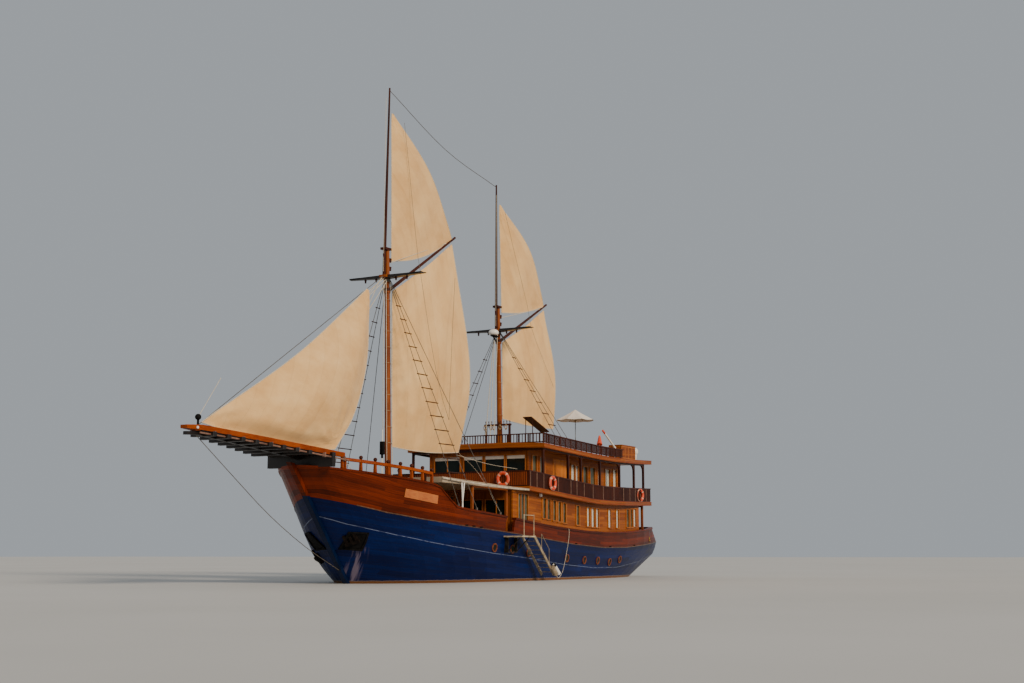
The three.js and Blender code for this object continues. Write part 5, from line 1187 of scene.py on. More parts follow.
# %% Windows of the cross walls
LOWER_FRONT, LOWER_AFT, UPPER_FRONT = 4.32, -10.72, 1.47
CROSS_SEAT = 0.0003
lower_foot = max(deck_z(LOWER_FRONT), deck_z(LOWER_FRONT - WALL)) + CROSS_SEAT
aft_foot = max(deck_z(LOWER_AFT), deck_z(LOWER_AFT + WALL)) + CROSS_SEAT
upper_foot = max(upper_z(UPPER_FRONT), upper_z(UPPER_FRONT - WALL)) + CROSS_SEAT
cross_frames, cross_panes = [], []
for y0, y1 in ((0.7, 1.85), (2.05, 3.2)):
    for low, high in ((y0, y1), (-y1, -y0)):
        opening = low, high, lower_foot + 0.6, lower_foot + 1.65
        cross_frames += casing(True, *opening, LOWER_FRONT, bars=1)
        cross_panes.append(pane(True, *opening, LOWER_FRONT))
for low, high in ((1.2, 2.3), (-2.3, -1.2)):
    opening = low, high, aft_foot + 1.0, aft_foot + 1.75
    cross_frames += casing(True, *opening, LOWER_AFT, -1, bars=1)
    cross_panes.append(pane(True, *opening, LOWER_AFT, -1))
BLIND_DROP = 0.17
for number, (low, high) in enumerate(((1.65, 2.7), (0.4, 1.5), (-0.85, 0.25), (-2.6, -1.1))):
    opening = low, high, upper_foot + 0.85, upper_foot + 1.78
    cross_frames += casing(True, *opening, UPPER_FRONT, bars=int(high - low > 1.2))
    cross_panes.append(pane(True, *opening, UPPER_FRONT))
    cut = curtain(f"front_blind_{number + 1}", low + 0.006, high - 0.006, opening[3] - BLIND_DROP,
                  opening[3] - 0.003, UPPER_FRONT - 0.022, 0, turned=True)
    print("blind", number + 1, "cut", cut, "m")
for low, high, foot, top, face, out in (
        (-0.41, 0.41, lower_foot + 0.09, 1.88, LOWER_FRONT, 1), (-0.41, 0.41, aft_foot, 1.88, LOWER_AFT, -1)):
    deep = face, face + 0.02 * out
    cross_frames += [
        on_wall(True, (low - 0.075, low - 0.003), deep, (foot, foot + top)),
        on_wall(True, (low - 0.075, high + 0.075), deep, (foot + top, foot + top + 0.07)),
    ]
fit(joined(cross_frames), "cross_window_casings", frame_wood)
fit(joined(cross_panes), "cross_panes", tinted_glass)

# %% [markdown]
# ## Doors
# The cabin doors are board doors: upright battens, held by rails across the inside. Every leaf
# swings on its own, so each gets its own battens and its own brass knob, riding with that leaf.

# %% Battens, knobs and the saloon door's panels
DOOR_LOW = upper_z(-1.24) + 0.008
LEAF_HEIGHT, KNOB_HEIGHT = 1.864, 0.95
DOOR_HIGH = DOOR_LOW + LEAF_HEIGHT
for end, low_x, high_x, knob_x in (("fore", -2.113, -1.252, -2.03), ("aft", -2.988, -2.127, -2.21)):
    for side, sign in (("port", 1), ("starboard", -1)):
        leaf = []
        count = 7
        pitch = (high_x - low_x) / count
        for i in range(count):
            x = low_x + pitch * i
            leaf.append(on_wall(False, (x + 0.008, x + pitch - 0.008), (sign * 2.885, sign * 2.897),
                                (DOOR_LOW + 0.1, DOOR_HIGH - 0.1), 0.004))
        for z in (DOOR_LOW + 0.012, DOOR_HIGH - 0.092):
            leaf.append(on_wall(False, (low_x + 0.006, high_x - 0.006), (sign * 2.885, sign * 2.899),
                                (z, z + 0.08), 0.004))
        fit(joined(leaf), f"cabin_door_battens_{end}_{side}", shutter_wood, f"door_{end}_{side}")
        knob_z = DOOR_LOW + KNOB_HEIGHT
        knob = ball((knob_x, sign * 2.925, knob_z), 0.022, 16, 8)
        stem = bar((knob_x, sign * 2.89, knob_z), (knob_x, sign * 2.925, knob_z), 0.011, 12)
        fit(joined([knob, stem]), f"cabin_door_knob_{end}_{side}", bronze, f"door_{end}_{side}", 60)
saloon_low, saloon_high = lower_foot + 0.106, lower_foot + 0.09 + LEAF_HEIGHT
# Rails of the saloon door: from y to y, and their distances from the leaf's foot and head
SALOON_RAILS = [(-0.396, -0.29, 0.01, 0.01), (0.21, 0.3, 0.01, 0.01), (-0.29, 0.21, 0.01, 1.66),
                (-0.29, 0.21, 1.74, 0.01), (-0.29, 0.21, 0.8, 0.9)]
leaf = [on_wall(True, (y0, y1), (4.305, 4.318), (saloon_low + z0, saloon_high - z1), 0.005)
        for y0, y1, z0, z1 in SALOON_RAILS]
fit(joined(leaf), "saloon_door_rails", frame_wood, "saloon_door")
glass = on_wall(True, (-0.28, 0.2), (4.309, 4.313), (saloon_low + 0.95, saloon_high - 0.1), 0)
fit(glass, "saloon_door_glass", tinted_glass, "saloon_door")
knob_z = saloon_low + 0.9
stem = bar((4.31, -0.34, knob_z), (4.345, -0.34, knob_z), 0.011, 12)
knob = joined([ball((4.345, -0.34, knob_z), 0.024, 16, 8), stem])
fit(knob, "saloon_door_knob", bronze, "saloon_door", 60)
print("doors dressed: 5 leaves")

# %% [markdown]
# ## The balustrade
# Around the upper deck runs a panel of dark upright slats under a cap rail. One slat is modelled
# and copied along the rail. Paler posts stand between them where the joiner spliced the panels.

# %% Slats, posts and mouldings
PANEL_IN, PANEL_HALF = 0.07, 0.02
PANEL_FRONT, PANEL_AFT = 3.45, -12.43
SLAT_PITCH, SLAT_FOOT = 0.115, 0.05
slat = block((-0.034, 0, 0), (0.034, 0.022, 0.66), 0.005)
slat_places, front_places = [], []
x = -12.36
while x < 3.3:
    y = half_at(x) - PANEL_IN + PANEL_HALF - 0.004
    for sign in (1, -1):
        foot = Matrix.Translation((x, sign * y, upper_z(x) + SLAT_FOOT))
        slat_places.append(foot @ Matrix.Scale(sign, 4, (0, 1, 0)))
    x += SLAT_PITCH
y = -3.8
while y < 3.85:
    slat_x = PANEL_FRONT - PANEL_IN + PANEL_HALF - 0.004
    front = Matrix.Translation((slat_x, y, upper_z(PANEL_FRONT) + SLAT_FOOT))
    front_places.append(front @ Matrix.Rotation(math.radians(-90), 4, "Z"))
    aft = Matrix.Translation((PANEL_AFT - PANEL_HALF + 0.004, y * 0.93, upper_z(PANEL_AFT) + SLAT_FOOT))
    slat_places.append(aft @ Matrix.Rotation(math.radians(90), 4, "Z"))
    y += SLAT_PITCH
front_slat = slat.copy()
front_slat.data = slat.data.copy()
bpy.context.scene.collection.objects.link(front_slat)
fit(joined(copies(slat, slat_places)), "balustrade_slats", dark_wood)
# The front panels get the sun all day, and have bleached to a warmer brown
front_wood = timber("sunned_front_slats", [(0.3, "#5c260d"), (0.75, "#a04f20"), (0.5, "#7e3916")], "z",
                    Specular_IOR_Level=0.15)
fit(joined(copies(front_slat, front_places)), "front_balustrade_slats", front_wood)
# Posts at the splices, bleached by the sun to a pinkish grey
pale = mottled("bleached_splice_posts", "#8f6f5c", "#6d4c3c", 6.0)
posts = []
for x in (3.3, 2.62, 1.9, 0.3, -1.13, -1.83, -2.69, -3.77, -5.04, -6.42, -7.72, -8.7, -9.64, -10.6, -11.6):
    y = half_at(x) - PANEL_IN + PANEL_HALF
    posts.append(block((x - 0.014, y - 0.002, upper_z(x) + 0.02), (x + 0.014, y + 0.034, upper_z(x) + 0.73)))
fit(both(joined(posts)), "balustrade_posts", pale)


def edge_path(x0, x1, inset, height_line, count=40):
    places = [x0 + (x1 - x0) * i / count for i in range(count + 1)]
    return [(x, half_at(x) - inset, height_line(x)) for x in places]


# Ends of each moulding, and the line that it follows
MOULDINGS = [
    (-12.48, 3.43, lambda v: upper_z(v) - 0.025), (-12.48, 3.43, lambda v: along(CEILING, v) + 0.03),
    (-12.58, 1.88, lambda v: roof_top(v) - 0.03), (-12.58, 1.88, lambda v: along(ROOF_LINE, v) + 0.03),
]
mouldings = [tube(edge_path(x0, x1, 0.004, line), 0.022) for x0, x1, line in MOULDINGS]
fit(both(joined(mouldings)), "edge_mouldings", trim_wood)
print("slats:", len(slat_places), "posts on a side:", len(posts))

# %% [markdown]
# ## Life rings
# A foam ring is modelled once: a torus, with four white bands taped round it and a grab line.
# Copies are turned to hang flat against the balustrade, two on each side and one facing ahead.

# %% Life rings
RING_RADIUS, RING_TUBE, RING_HEIGHT, RING_OUT = 0.285, 0.079, 0.372, 0.069
ring = torus(RING_RADIUS, RING_TUBE, 48, 16)
ring.data.materials.append(ring_foam)
ring.data.materials.append(ring_tape)
for face in ring.data.polygons:
    turn = math.degrees(math.atan2(face.center.y, face.center.x)) % 90
    face.material_index = int(37 < turn < 53)
grab_points = []
for i in range(17):
    angle, reach = math.radians(22.5 * i), RING_RADIUS + RING_TUBE + (0.012 if i % 2 else -0.005)
    grab_points.append((reach * math.cos(angle), reach * math.sin(angle), 0.035 if i % 2 else 0.0))
grab = tube(grab_points, 0.006, 64)
grab.data.materials.append(line_white)
ring = joined([ring, grab])
rings = []
for x in (1.03, -10.4):
    slope = math.atan(0.4 / 4.5) if x < -8 else 0.0
    for sign in (1, -1):
        y = half_at(x) - PANEL_IN + PANEL_HALF / math.cos(slope) + RING_OUT
        middle = Matrix.Translation((x, sign * y, upper_z(x) + RING_HEIGHT))
        rings.append(middle @ Matrix.Rotation(-sign * slope, 4, "Z") @ Matrix.Rotation(
            math.radians(-90 * sign), 4, "X"))
front_x = PANEL_FRONT - PANEL_IN + PANEL_HALF + RING_OUT
middle = Matrix.Translation((front_x, 2.54, upper_z(PANEL_FRONT) + RING_HEIGHT))
rings.append(middle @ Matrix.Rotation(math.radians(90), 4, "Y"))
fit(joined(copies(ring, rings)), "life_rings", None, smooth=60)
print("life rings:", len(rings))

# %% [markdown]
# ## Rails and posts
# A square timber between two points is a beam. Thick rail planks on the forecastle and the arms
# at the mastheads are beams of different sizes.

# %% Beams
def beam(start, end, width, height, end_scale=1.0):
    """A squared timber from one point to another; it may taper towards its end."""
    clear()
    start, end = Vector(start), Vector(end)
    bpy.ops.mesh.primitive_cube_add(size=1)
    item = bpy.context.object
    for vertex in item.data.vertices:
        size = end_scale if vertex.co.x > 0 else 1.0
        x, y, z = vertex.co
        vertex.co = x * (end - start).length, y * width * size, z * height * size
    item.location = (start + end) / 2
    item.rotation_euler = (end - start).to_track_quat("X", "Z").to_euler()
    settle(item)
    return modify(item, "BEVEL", width=0.008, segments=1)


rail_points = [tops("forecastle_rail_port", 15.55 - (15.55 - 11.52) * i / 7) for i in range(8)]
rail_parts = [beam(a - Vector((0, 0, 0.06)), b - Vector((0, 0, 0.06)), 0.15, 0.13)
              for a, b in zip(rail_points, rail_points[1:])]
for point in rail_points[1:]:
    rail_parts.append(beam(point - Vector((0, 0, 0.46)), point - Vector((0, 0, 0.1)), 0.13, 0.12, 0.8))
fit(both(joined(rail_parts)), "forecastle_rail_timbers", trim_wood)
bitts = []
for x, y in ((12.69, 2.5), (11.73, 2.5), (11.2, 2.9)):
    bitts += [bar((x, y, 3.8), (x, y, 4.86), 0.055, 12), bar((x, y, 4.8), (x, y, 4.92), 0.085, 12, 0.06)]
fit(both(joined(bitts)), "foredeck_bitts", dark_wood, smooth=50)
# Cross timbers under the bowsprit: black-brown, partly as painted shade of the underside seen from below
ends = []
for i in range(8):
    x = 22.5 - 4.8 * i / 7
    beam_y, beam_z = sprit(x - 0.08)
    top = beam_z - BEAM_HIGH - 0.004
    ends.append(block((x - 0.11, -beam_y - 0.24, top - 0.17), (x + 0.11, beam_y + 0.24, top), 0.01))
fit(joined(ends), "bowsprit_cross_timbers", black_wood)
print("forecastle rail of", len(rail_parts), "timbers;", len(ends), "cross timbers")

# %% [markdown]
# Behind the life rings and along the roof run lighter rails. The roof's rail is closed by thin
# dark slats on the sides, and stays more open across the front. Curved knees brace the posts
# that carry the roof at the stern: a square block, with a cylinder cut out of its corner.

# %% Roof rail slats and knees
def rail_path(x):
    return half_at(x) - 0.11, roof_top(x)


slats = []
x = 1.70
while x > -7.85:
    y, z = rail_path(x)
    slats.append(block((x - 0.03, y - 0.012, z + 0.07), (x + 0.03, y + 0.012, z + 0.475), 0.004))
    x -= 0.11
low_rail = [(x, rail_path(x)[0], rail_path(x)[1] + 0.07) for x in (1.79 - 0.4 * i for i in range(25))]
slats += [beam(a, b, 0.05, 0.05) for a, b in zip(low_rail, low_rail[1:])]
rail_foot = roof_top(1.79)
y = 0.15
while y < 3.8:
    slats.append(block((1.778, y - 0.02, rail_foot + 0.06), (1.802, y + 0.02, rail_foot + 0.475), 0.004))
    y += 0.16
slats.append(block((1.765, -0.001, rail_foot + 0.04), (1.815, 3.89, rail_foot + 0.09), 0.004))
fit(both(joined(slats)), "roof_rail_slats", dark_wood)
KNEE = 0.34
knee = block((0, -0.045, -KNEE), (KNEE, 0.045, 0), 0)
clear()
bpy.ops.mesh.primitive_cylinder_add(vertices=40, radius=KNEE - 0.03, depth=0.4, location=(KNEE, 0, -KNEE),
                                    rotation=(math.radians(90), 0, 0))
cutter = bpy.context.object
modify(knee, "BOOLEAN", operation="DIFFERENCE", object=cutter, solver="EXACT")
bpy.data.objects.remove(cutter)
knee_places = []
for x in (1.65, -1.14, -2.63, -4.98, -7.53, -9.9, -11.6):
    for way in (1,) if x < 1 else (-1,):
        for sign in (1, -1):
            knee_z = along(ROOF_LINE, x) - 0.075
            place = Matrix.Translation((x + 0.05 * way, sign * (half_at(x) - 0.2), knee_z))
            size = 1.0 if x < -7 else 0.45
            knee_places.append(place @ Matrix.Scale(size, 4) @ Matrix.Scale(way, 4, (1, 0, 0)))
fit(joined(copies(knee, knee_places)), "roof_post_knees", dark_rail)
print("knees:", len(knee_places), "slats on a side:", len(slats))

# %% [markdown]
# ## At the mastheads
# The crosstrees are dark tapered arms. Blocks hang under the cap, a white radar dome sits on a
# bracket ahead of the mizzen mast, and wooden hoops carry the luff of each gaff sail.

# %% Crosstrees, blocks, dome and hoops
def mast_point(m, x, y, z):
    return leaning(m["x"], (x, y, z))


def mast_radius(m, z):
    return m["radius"] + (m["head_radius"] - m["radius"]) * (z - m["foot"]) / (m["cap"] - m["foot"])


FORE.update(radius=0.165, head_radius=0.108, foot=deck_z(FORE["x"]) - 0.08, cap=15.3, hounds=14.05)
MIZZEN.update(radius=0.15, head_radius=0.1, foot=roof_top(MIZZEN["x"]), cap=14.2, hounds=13.0)
for name, m in (("fore", FORE), ("mizzen", MIZZEN)):
    arms, pulleys = [], []
    for sign in (1, -1):
        inner = mast_point(m, 0.1, 0.1 * sign, m["hounds"] - 0.02)
        arms.append(beam(inner, mast_point(m, 0.1, 2.0 * sign, m["hounds"] + 0.02), 0.4, 0.15, 0.45))
        for drop, out in ((0.16, 1.15), (0.16, 0.55)):
            top = mast_point(m, 0.1, out * sign, m["hounds"] - 0.06)
            pulleys.append(beam(top, top - Vector((0, 0, drop)), 0.07, 0.1, 0.7))
    fit(joined(arms), name + "_crosstree_arms", black_wood)
    for x, z in ((-0.19, -0.35), (0.24, -0.5), (-0.17, -0.75), (0.33, -0.2), (0.3, -0.85)):
        point = mast_point(m, x, 0.05, m["cap"] + z)
        pulleys.append(beam(point, point - Vector((0, 0, 0.2)), 0.09, 0.12, 0.75))
    fit(joined(pulleys), name + "_masthead_blocks", dark_rail)
    hoop = torus(1.0, 0.07, 28, 6)
    places = []
    low, high = m["tack"][1] + 0.15, m["jaw"] - 0.5
    count = int((high - low) / 0.72)
    for i in range(count + 1):
        z = low + (high - low) * i / count
        size = mast_radius(m, z) + 0.022
        turned = Matrix.Rotation(MAST_RAKE, 4, "Y") @ Matrix.Rotation(math.radians(-12), 4, "Y")
        places.append(Matrix.Translation(mast_point(m, -0.03, 0, z)) @ turned @ Matrix.Scale(size, 4))
    fit(joined(copies(hoop, places)), name + "_mast_hoops", batten_wood, name + "_gaff_set", 60)
    print(name, "mast:", count + 1, "hoops")
dome_at = Vector((-0.1, 0, 12.72))
dome = ball(dome_at + Vector((0, 0, 0.14)), 0.27, 28, 14)
for vertex in dome.data.vertices:
    vertex.co.z = max(vertex.co.z - dome_at.z, -0.05) * 0.68 + dome_at.z
fit(dome, "radar_dome", moulding, smooth=60)
bracket = [block((-0.52, -0.09, 12.6), (0.1, 0.09, 12.67), 0.01),
           beam((-0.55, 0, 12.3), (-0.05, 0, 12.6), 0.06, 0.06)]
fit(joined(bracket), "radar_bracket", soot_black)

# %% [markdown]
# ## Running and standing lines
# Ratlines make the shrouds climbable: short battens lashed across two wires. We look the wires up
# in the solid at each height, so that every batten reaches from one to the other.
# Fixed lines under load are modelled taut; they aren't the free ends that a cord would be.

# %% Ratlines
def wires_at(name, z, side):
    """Middles of the wires where a level plane cuts them, ordered along x."""
    mesh = nodes[name].data
    hits = []
    for edge in mesh.edges:
        a, b = (mesh.vertices[i].co for i in edge.vertices)
        if (a.z - z) * (b.z - z) < 0 and a.y * side > 0.05 and (b - a).length > 1:
            hits.append(a.lerp(b, (z - a.z) / (b.z - a.z)))
    hits.sort(key=lambda p: p.x)
    groups = []
    for hit in hits:
        if groups and (groups[-1][-1] - hit).length < 0.06:
            groups[-1].append(hit)
        else:
            groups.append([hit])
    return [sum(group, Vector()) / len(group) for group in groups]


for name, low, high, step in (("fore", 4.9, 12.7, 0.645), ("mizzen", 7.9, 11.9, 0.6)):
    battens = []
    for side in (1, -1):
        z = low
        while z < high:
            wires = wires_at(name + "_shrouds", z, side)
            if len(wires) >= 2:
                a, b = wires[-1], wires[-2]
                over, off = (b - a).normalized() * 0.09, Vector((0, 0.012 * side, 0))
                battens.append(bar(a - over + off, b + over + off, 0.024, 6))
            z += step
    fit(joined(battens), name + "_ratlines", dark_wood, smooth=50)
    print(name, "ratlines:", len(battens))

# %% [markdown]
# White halyards run down the fore side of each mast to the pin rail; three-part tackles hold the
# jib's head; thin lines steady the gaff. What is tied to a gaff rides with it.

# %% Halyards, tackles and sheets
def lines(name, runs, radius=0.012, body="yacht", finish=None):
    made = [tube(run, radius, 10 if len(run) > 2 else None) for run in runs]
    return fit(joined(made), name, finish or line_white, body)


lines("jib_head_tackle", [
    [(11.72, 0.03 * k, 13.02 - 0.22 * k * k), mast_point(FORE, 0.2, 0.05 * k, 14.0 - 0.1 * k)]
    for k in range(-2, 3)], 0.016)
lines("fore_halyards", [
    [mast_point(FORE, 0.2, 0.07, 13.9), mast_point(FORE, 0.24, 0.1, 4.2)],
    [mast_point(FORE, 0.2, -0.06, 13.9), mast_point(FORE, 0.3, -0.1, 4.2)],
    [mast_point(FORE, 0.02, 0.19, 13.8), mast_point(FORE, -0.02, 0.24, 4.0)]], 0.016)
lines("mizzen_halyards", [
    [mast_point(MIZZEN, 0.2, 0.06, 12.9), (0.03, 0.12, 7.2)],
    [mast_point(MIZZEN, 0.3, -0.04, 12.9), (0.12, -0.08, 7.2)],
    [mast_point(MIZZEN, 0.25, -0.1, 12.9), (0.22, -0.3, 7.2)]], 0.018)
print("halyards and tackles rigged")

# %% [markdown]
# The gaff has lines of its own: one that holds its peak up, short lashings along its underside,
# and thin lines down the sail. They ride with the gaff. The clew's line is tied to the sail at one
# end and to the rail at the other; it rides on no body.

# %% Lines of the gaffs and sails
# Each gaff's peak line: where it leaves the mast, and its radius
for name, m, x, z, radius in (("fore", FORE, -0.2, 14.75, 0.02), ("mizzen", MIZZEN, -0.18, 13.7, 0.018)):
    tip = mast_point(m, m["end"][0] + 0.15, 0, m["end"][1] - 0.02)
    hold = tip.lerp(mast_point(m, 0, 0, m["jaw"]), 0.12)
    lines(name + "_peak_line", [[mast_point(m, x, 0.06, z), hold]], radius=radius, body=name + "_gaff_set")
# Lashings of the sail's head: how many, and how long
for name, m, count, drop in (("fore", FORE, 10, 0.3), ("mizzen", MIZZEN, 9, 0.28)):
    start_x = m["inner"] + 0.03
    rise = (m["end"][1] - m["jaw"]) / (m["end"][0] + start_x)
    runs = []
    for x in (-0.7 - 0.55 * i for i in range(count)):
        z = m["jaw"] + rise * (x + start_x)
        runs.append([mast_point(m, x, 0.05, z), mast_point(m, x, 0.02, z - drop)])
    lines("gaff_lashings_" + name, runs, 0.008, name + "_gaff_set")
lines("jib_sheet", [[(14.42, 0.44, 5.72), (13.7, 0.7, 4.9), (12.9, 1.0, 4.0)]])
lines("fore_sheet", [[(9.14, 3.3, 5.7), (6.3, 3.36, 5.44), (3.61, 3.4, 5.36)]], 0.008)
CLEW_LINE_FOOT = (6.34, 3.94, 3.25)
clew_run = [mast_point(FORE, -6.2, 0.08, 6.1), (4.9, 2.0, 5.1), CLEW_LINE_FOOT]
clew_line = lines("fore_clew_line", [clew_run], 0.006, None)
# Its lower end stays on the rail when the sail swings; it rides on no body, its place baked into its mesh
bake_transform(clew_line)
lines("fore_sail_lines", [
    [(9.12, 0.25, 21.7), (8.63, 0.35, 18.6), (8.1, 0.42, 15.45), (7.9, 0.5, 14.41), (8.07, 0.9, 12.71),
     (8.0, 1.15, 11.17), (7.15, 1.15, 8.98), (6.05, 1.0, 7.64)],
    [(4.57, 0.4, 14.9), (5.95, 1.1, 12.03), (6.31, 1.2, 9.06), (6.05, 1.0, 7.64)]],
    0.008, "fore_gaff_set", wire_rope)
MIZZEN_SAIL_LINE = [
    (-0.57, 19.36), (-1.83, 17.0), (-3.09, 14.72), (-3.55, 13.57), (-4.85, 12.07), (-6.24, 10.52)]
lines("mizzen_sail_line", [[(x, 0.42, z) for x, z in MIZZEN_SAIL_LINE]], 0.008, "mizzen_gaff_set", wire_rope)
lines("topmast_halyards", [
    [mast_point(m, m["head_radius"] + 0.07 + low, 0.05, m["hounds"] + 0.2), mast_point(m, 0.12, 0.05, top)]
    for m, low, top in ((FORE, 0.22, 22.6), (MIZZEN, 0.2, 20.3))], 0.01)
print("lines rigged")

# %% [markdown]
# ## On the roof
# A white umbrella shades the sun deck. Its canopy is one cloth, cut as eight gores; between the
# ribs the cloth hollows a little, so each gore is bent down in its middle.

# %% Umbrella
UMBRELLA, APEX, RIM_Z, REACH, GORES = Vector((-3.9, 2.9, 0)), 8.945, 8.37, 1.035, 8
clear()
bpy.ops.mesh.primitive_circle_add(vertices=GORES * 8, radius=1, fill_type="TRIFAN")
canopy = bpy.context.object
bpy.ops.object.mode_set(mode="EDIT")
bpy.ops.mesh.select_all(action="SELECT")
bpy.ops.mesh.subdivide(number_cuts=5)
bpy.ops.object.mode_set(mode="OBJECT")
if not canopy.data.uv_layers:
    canopy.data.uv_layers.new()
for loop in canopy.data.loops:
    co = canopy.data.vertices[loop.vertex_index].co
    canopy.data.uv_layers.active.data[loop.index].uv = co.x * REACH, co.y * REACH
for vertex in canopy.data.vertices:
    reach, turn = math.hypot(vertex.co.x, vertex.co.y), math.atan2(vertex.co.y, vertex.co.x)
    between_ribs = abs(math.sin(turn * GORES / 2))
    edge = reach * REACH * (1 - 0.055 * between_ribs)
    vertex.co = (UMBRELLA.x + edge * math.cos(turn), UMBRELLA.y + edge * math.sin(turn),
                 APEX - (APEX - RIM_Z) * reach ** 0.9 - 0.035 * between_ribs * reach)
canopy.data.update()
modify(canopy, "SOLIDIFY", thickness=0.004, offset=-1)
fit(canopy, "umbrella_cloth", umbrella_cloth, smooth=20)
ribs = []
for i in range(GORES):
    angle = 2 * math.pi * i / GORES
    out = Vector((math.cos(angle), math.sin(angle), 0))
    tip = UMBRELLA + out * (REACH - 0.02) + Vector((0, 0, RIM_Z))
    ribs.append(bar(UMBRELLA + Vector((0, 0, APEX - 0.07)), tip, 0.011, 6))
    brace = UMBRELLA + out * REACH * 0.5 + Vector((0, 0, 8.61))
    ribs.append(bar(UMBRELLA + Vector((0, 0, APEX - 0.62)), brace, 0.009, 6))
ribs.append(bar(UMBRELLA + Vector((0, 0, APEX - 0.68)), UMBRELLA + Vector((0, 0, APEX - 0.58)), 0.045, 12))
fit(joined(ribs), "umbrella_ribs", batten_wood, smooth=50)
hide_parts("umbrella_canopy")

# %% [markdown]
# The pin rail at the mizzen's foot holds the halyards: wooden pins through a plank on two legs.
# What is left of each line hangs from its pin in a coil, modelled as a ring pulled long.

# %% Pin rail and coils
def roof_at(x, y):
    """Height of the roof's surface, camber included."""
    return roof_skin.ray_cast(Vector((x, y, 9)), Vector((0, 0, -1)))[0].z


roof_skin = tree_of("roof")
PIN_X, PIN_PITCH, PINS = -0.57, 0.18, 9
PIN_PLACES = [-0.72 + PIN_PITCH * i for i in range(PINS)]
parts = [block((-0.64, -0.79, 7.93), (-0.5, 0.79, 8.02))]
for y in (-0.7, 0.7):
    parts.append(block((-0.62, y - 0.05, roof_at(PIN_X, y) - 0.02), (-0.52, y + 0.05, 7.94)))
for y in PIN_PLACES:
    parts.append(bar((PIN_X, y, 7.84), (PIN_X, y, 8.14), 0.017, 8))
    parts.append(bar((PIN_X, y, 8.1), (PIN_X, y, 8.19), 0.028, 8, 0.02))
parts.append(block((-1.3, -0.28, roof_at(-1, 0) - 0.05), (-0.67, 0.28, roof_at(-1, 0) + 0.22), 0.02))
fit(joined(parts), "mizzen_pin_rail", dark_rail, smooth=50)
coils = []
for i in (0, 2, 3, 5, 7):
    place = (-0.47, PIN_PLACES[i], 7.84)
    coil = torus(0.065, 0.022, 20, 6)
    coil.location, coil.rotation_euler, coil.scale = place, (0, math.radians(90), 0), (1.7, 1, 1)
    coils.append(settle(coil))
fit(joined(coils), "halyard_coils", batten_wood, smooth=60)
print("pins:", len(PIN_PLACES), "coils:", len(coils))

# %% [markdown]
# What stands on the roof is each a few simple bodies joined: a tilted board on four legs, a dome
# on a cone, a pole that leans on a short post, and a marker float on its stick.

# %% Board, dome, pole and float
board = [beam((-0.08, 2.0, 8.26), (-2.1, 2.0, 7.64), 0.5, 0.05)]
for y in (1.8, 2.2):
    board += [bar((x, y, roof_at(x, y)), (x, y, z), 0.022, 8) for x, z in ((-0.3, 8.17), (-1.9, 7.68))]
fit(joined(board), "slanted_board", dark_rail)
AERIAL_X, AERIAL_Y = -11.9, 2.8
stand = bar((AERIAL_X, AERIAL_Y, roof_at(AERIAL_X, AERIAL_Y)), (AERIAL_X, AERIAL_Y, 7.1), 0.13, 16, 0.17)
aerial = joined([ball((AERIAL_X, AERIAL_Y, 7.2), 0.24, 24, 14), stand])
fit(aerial, "aerial_dome", moulding, smooth=60)
pole = [bar((-8.14, 3.3, 7.14), (-6.75, 3.3, 7.87), 0.05, 10),
        bar((-8.14, 3.3, roof_at(-8.14, 3.3)), (-8.14, 3.3, 7.2), 0.05, 12)]
fit(joined(pole), "slanted_pole", moulding, smooth=50)
fit(bar((-6.76, 3.3, 7.865), (-6.5, 3.3, 8.0), 0.055, 10), "pole_tip", ring_foam, smooth=50)
float_parts = [bar((-6.4, 3.15, 7.22), (-6.62, 3.05, 7.72), 0.16, 14, 0.05),
               bar((-6.4, 3.15, roof_at(-6.4, 3.15)), (-6.4, 3.15, 7.24), 0.03, 8)]
fit(joined(float_parts), "marker_float", ring_foam, smooth=50)
print("roof pieces: board, dome, pole, float")

# %% [markdown]
# The locker is a frame of thin battens with panels let in. The panels are the solid itself, so
# only the battens are added, on all four sides.

# %% Locker frames
LOCKER_AFT, LOCKER_FORE = -11.6, -9.7
FRAME_FOOT, FRAME_TOP, FRAME_RAILS = 6.66, 7.39, (6.68, 7.33)
panels = []
for i in range(5):
    x = LOCKER_AFT + 0.01 + (LOCKER_FORE - LOCKER_AFT - 0.01) / 4 * i
    for y in (2.985, 2.193):
        panels.append(block((x - 0.03, y, FRAME_FOOT), (x + 0.03, y + 0.022, FRAME_TOP), 0.004))
for z in FRAME_RAILS:
    for y in (2.985, 2.193):
        panels.append(block((LOCKER_AFT, y, z), (LOCKER_FORE, y + 0.024, z + 0.06), 0.004))
for x in (LOCKER_AFT - 0.015, LOCKER_FORE - 0.015):
    panels += [block((x, 2.2, z), (x + 0.024, 3.0, z + 0.06), 0.004) for z in FRAME_RAILS]
    panels += [block((x, y, FRAME_FOOT), (x + 0.022, y + 0.06, FRAME_TOP), 0.004) for y in (2.2, 2.57, 2.94)]
fit(joined(panels), "locker_frames", frame_wood)
print("locker battens:", len(panels))

# %% [markdown]
# ## On deck
# Two white pipes stand where the awning is lashed, and its spare canvas is rolled along the edge.
# A lamp box hangs ahead of the fore mast, and a white lamp lights the boarding gate.

# %% Awning pipes, roll and lamps
awning_pipes = joined([
    bar((8.72, 3.4, deck_z(8.72)), (8.88, 3.4, 4.47), 0.035, 12),
    bar((8.98, 3.4, deck_z(8.98)), (8.66, 3.4, 4.47), 0.03, 12)])
fit(both(awning_pipes), "awning_pipes", moulding, smooth=50)
AWNING_EDGE = [(10.2, 3.2, 4.62), (8.2, 3.42, 4.5), (6.35, 3.6, 4.42), (4.8, 3.78, 4.36), (3.5, 3.96, 4.34)]
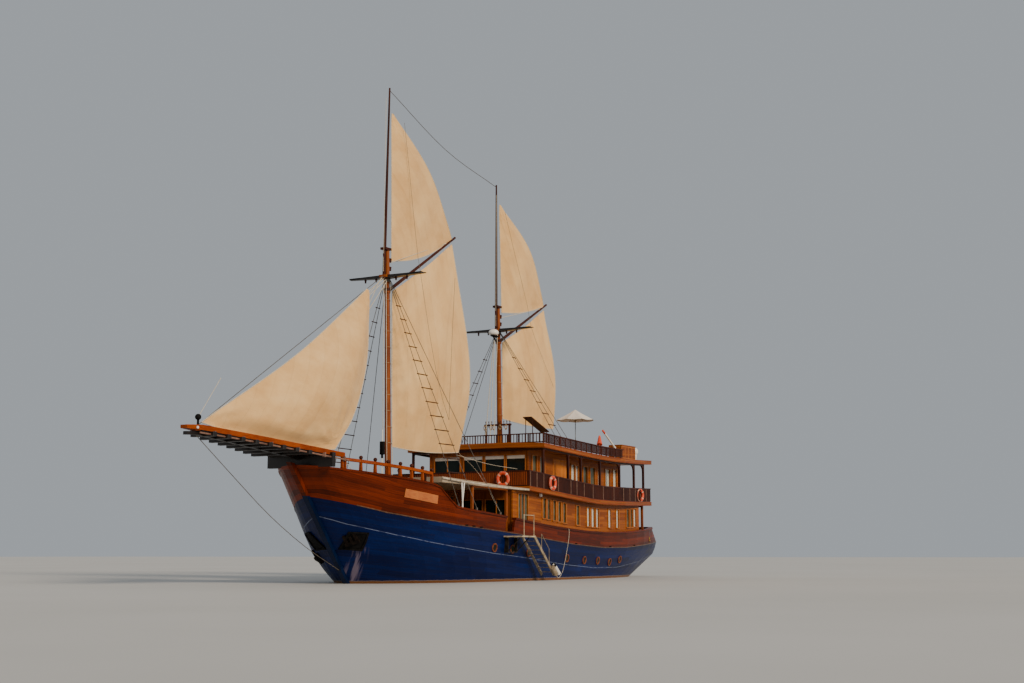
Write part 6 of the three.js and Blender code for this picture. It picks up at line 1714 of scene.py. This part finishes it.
# Rolled-up awning canvas: cream with grey creases
rolled_canvas = mottled("rolled_awning_canvas", "#d8cdbb", "#a3937c", 5.0)
fit(both(tube(AWNING_EDGE, 0.036, 24)), "awning_edge_roll", rolled_canvas)
lamp_box = [block((10.2, -0.1, 5.76), (10.36, 0.1, 6.36), 0.02),
            bar((10.28, 0, 5.6), (10.28, 0, 5.8), 0.05, 10)]
fit(joined(lamp_box), "mast_lamp_box", soot_black)
fit(bar((10.28, 0.0, 3.8), (10.28, 0.0, 6.9), 0.018, 8), "lamp_pole", moulding, smooth=50)
fit(both(block((1.5, 3.56, 4.08), (1.66, 3.7, 4.26), 0.03)), "gate_lamps", moulding)
print("awning and lamps fitted")

# %% [markdown]
# A boarded hatch leads below. On the foredeck a windlass lifts the anchors: a drum between two
# cheeks, with a wider ring at each end where the chain runs. A fender hangs by the ladder's foot.

# %% Hatch, windlass and fender
hatch_top = deck_z(8.7) + 0.32
hatch = [block((7.2, -0.9, deck_z(8.3) - 0.03), (8.7, 0.9, hatch_top), 0.02)]
for y in (-0.86, -0.43, 0, 0.43, 0.86):
    hatch.append(block((7.15, y - 0.04, hatch_top), (8.75, y + 0.04, deck_z(8.7) + 0.36), 0.008))
fit(joined(hatch), "deck_hatch", deck_planks)
clear()
bpy.ops.mesh.primitive_cylinder_add(vertices=24, radius=0.19, depth=1.0, location=(12.5, 0, 4.16),
                                    rotation=(math.radians(90), 0, 0))
windlass = [settle(bpy.context.object)]
windlass += [block((12.3, y, 3.79), (12.7, y + 0.12, 4.3), 0.02) for y in (-0.62, 0.5)]
for y in (-0.3, 0.3):
    windlass.append(bar((12.5, y - 0.03, 4.16), (12.5, y + 0.03, 4.16), 0.25, 20))
fit(joined(windlass), "windlass", anchor_iron, smooth=50)
FENDER_TOP, FENDER_FOOT, FENDER_RADIUS = Vector((2.12, 4.63, 0.72)), Vector((1.7, 4.66, 0.36)), 0.105
fender = [bar(FENDER_FOOT, FENDER_TOP, FENDER_RADIUS, 20)]
fender += [ball(end, FENDER_RADIUS) for end in (FENDER_TOP, FENDER_FOOT)]
fit(joined(fender), "ladder_fender", moulding, "boarding_ladder", 60)
fender_cap = bar(FENDER_TOP - Vector((0.02, 0, 0.015)), FENDER_TOP + Vector((0.07, 0, 0.06)),
                 FENDER_RADIUS + 0.006, 20)
fit(fender_cap, "fender_cap", soot_black, "boarding_ladder", 50)
print("deck fitted out")
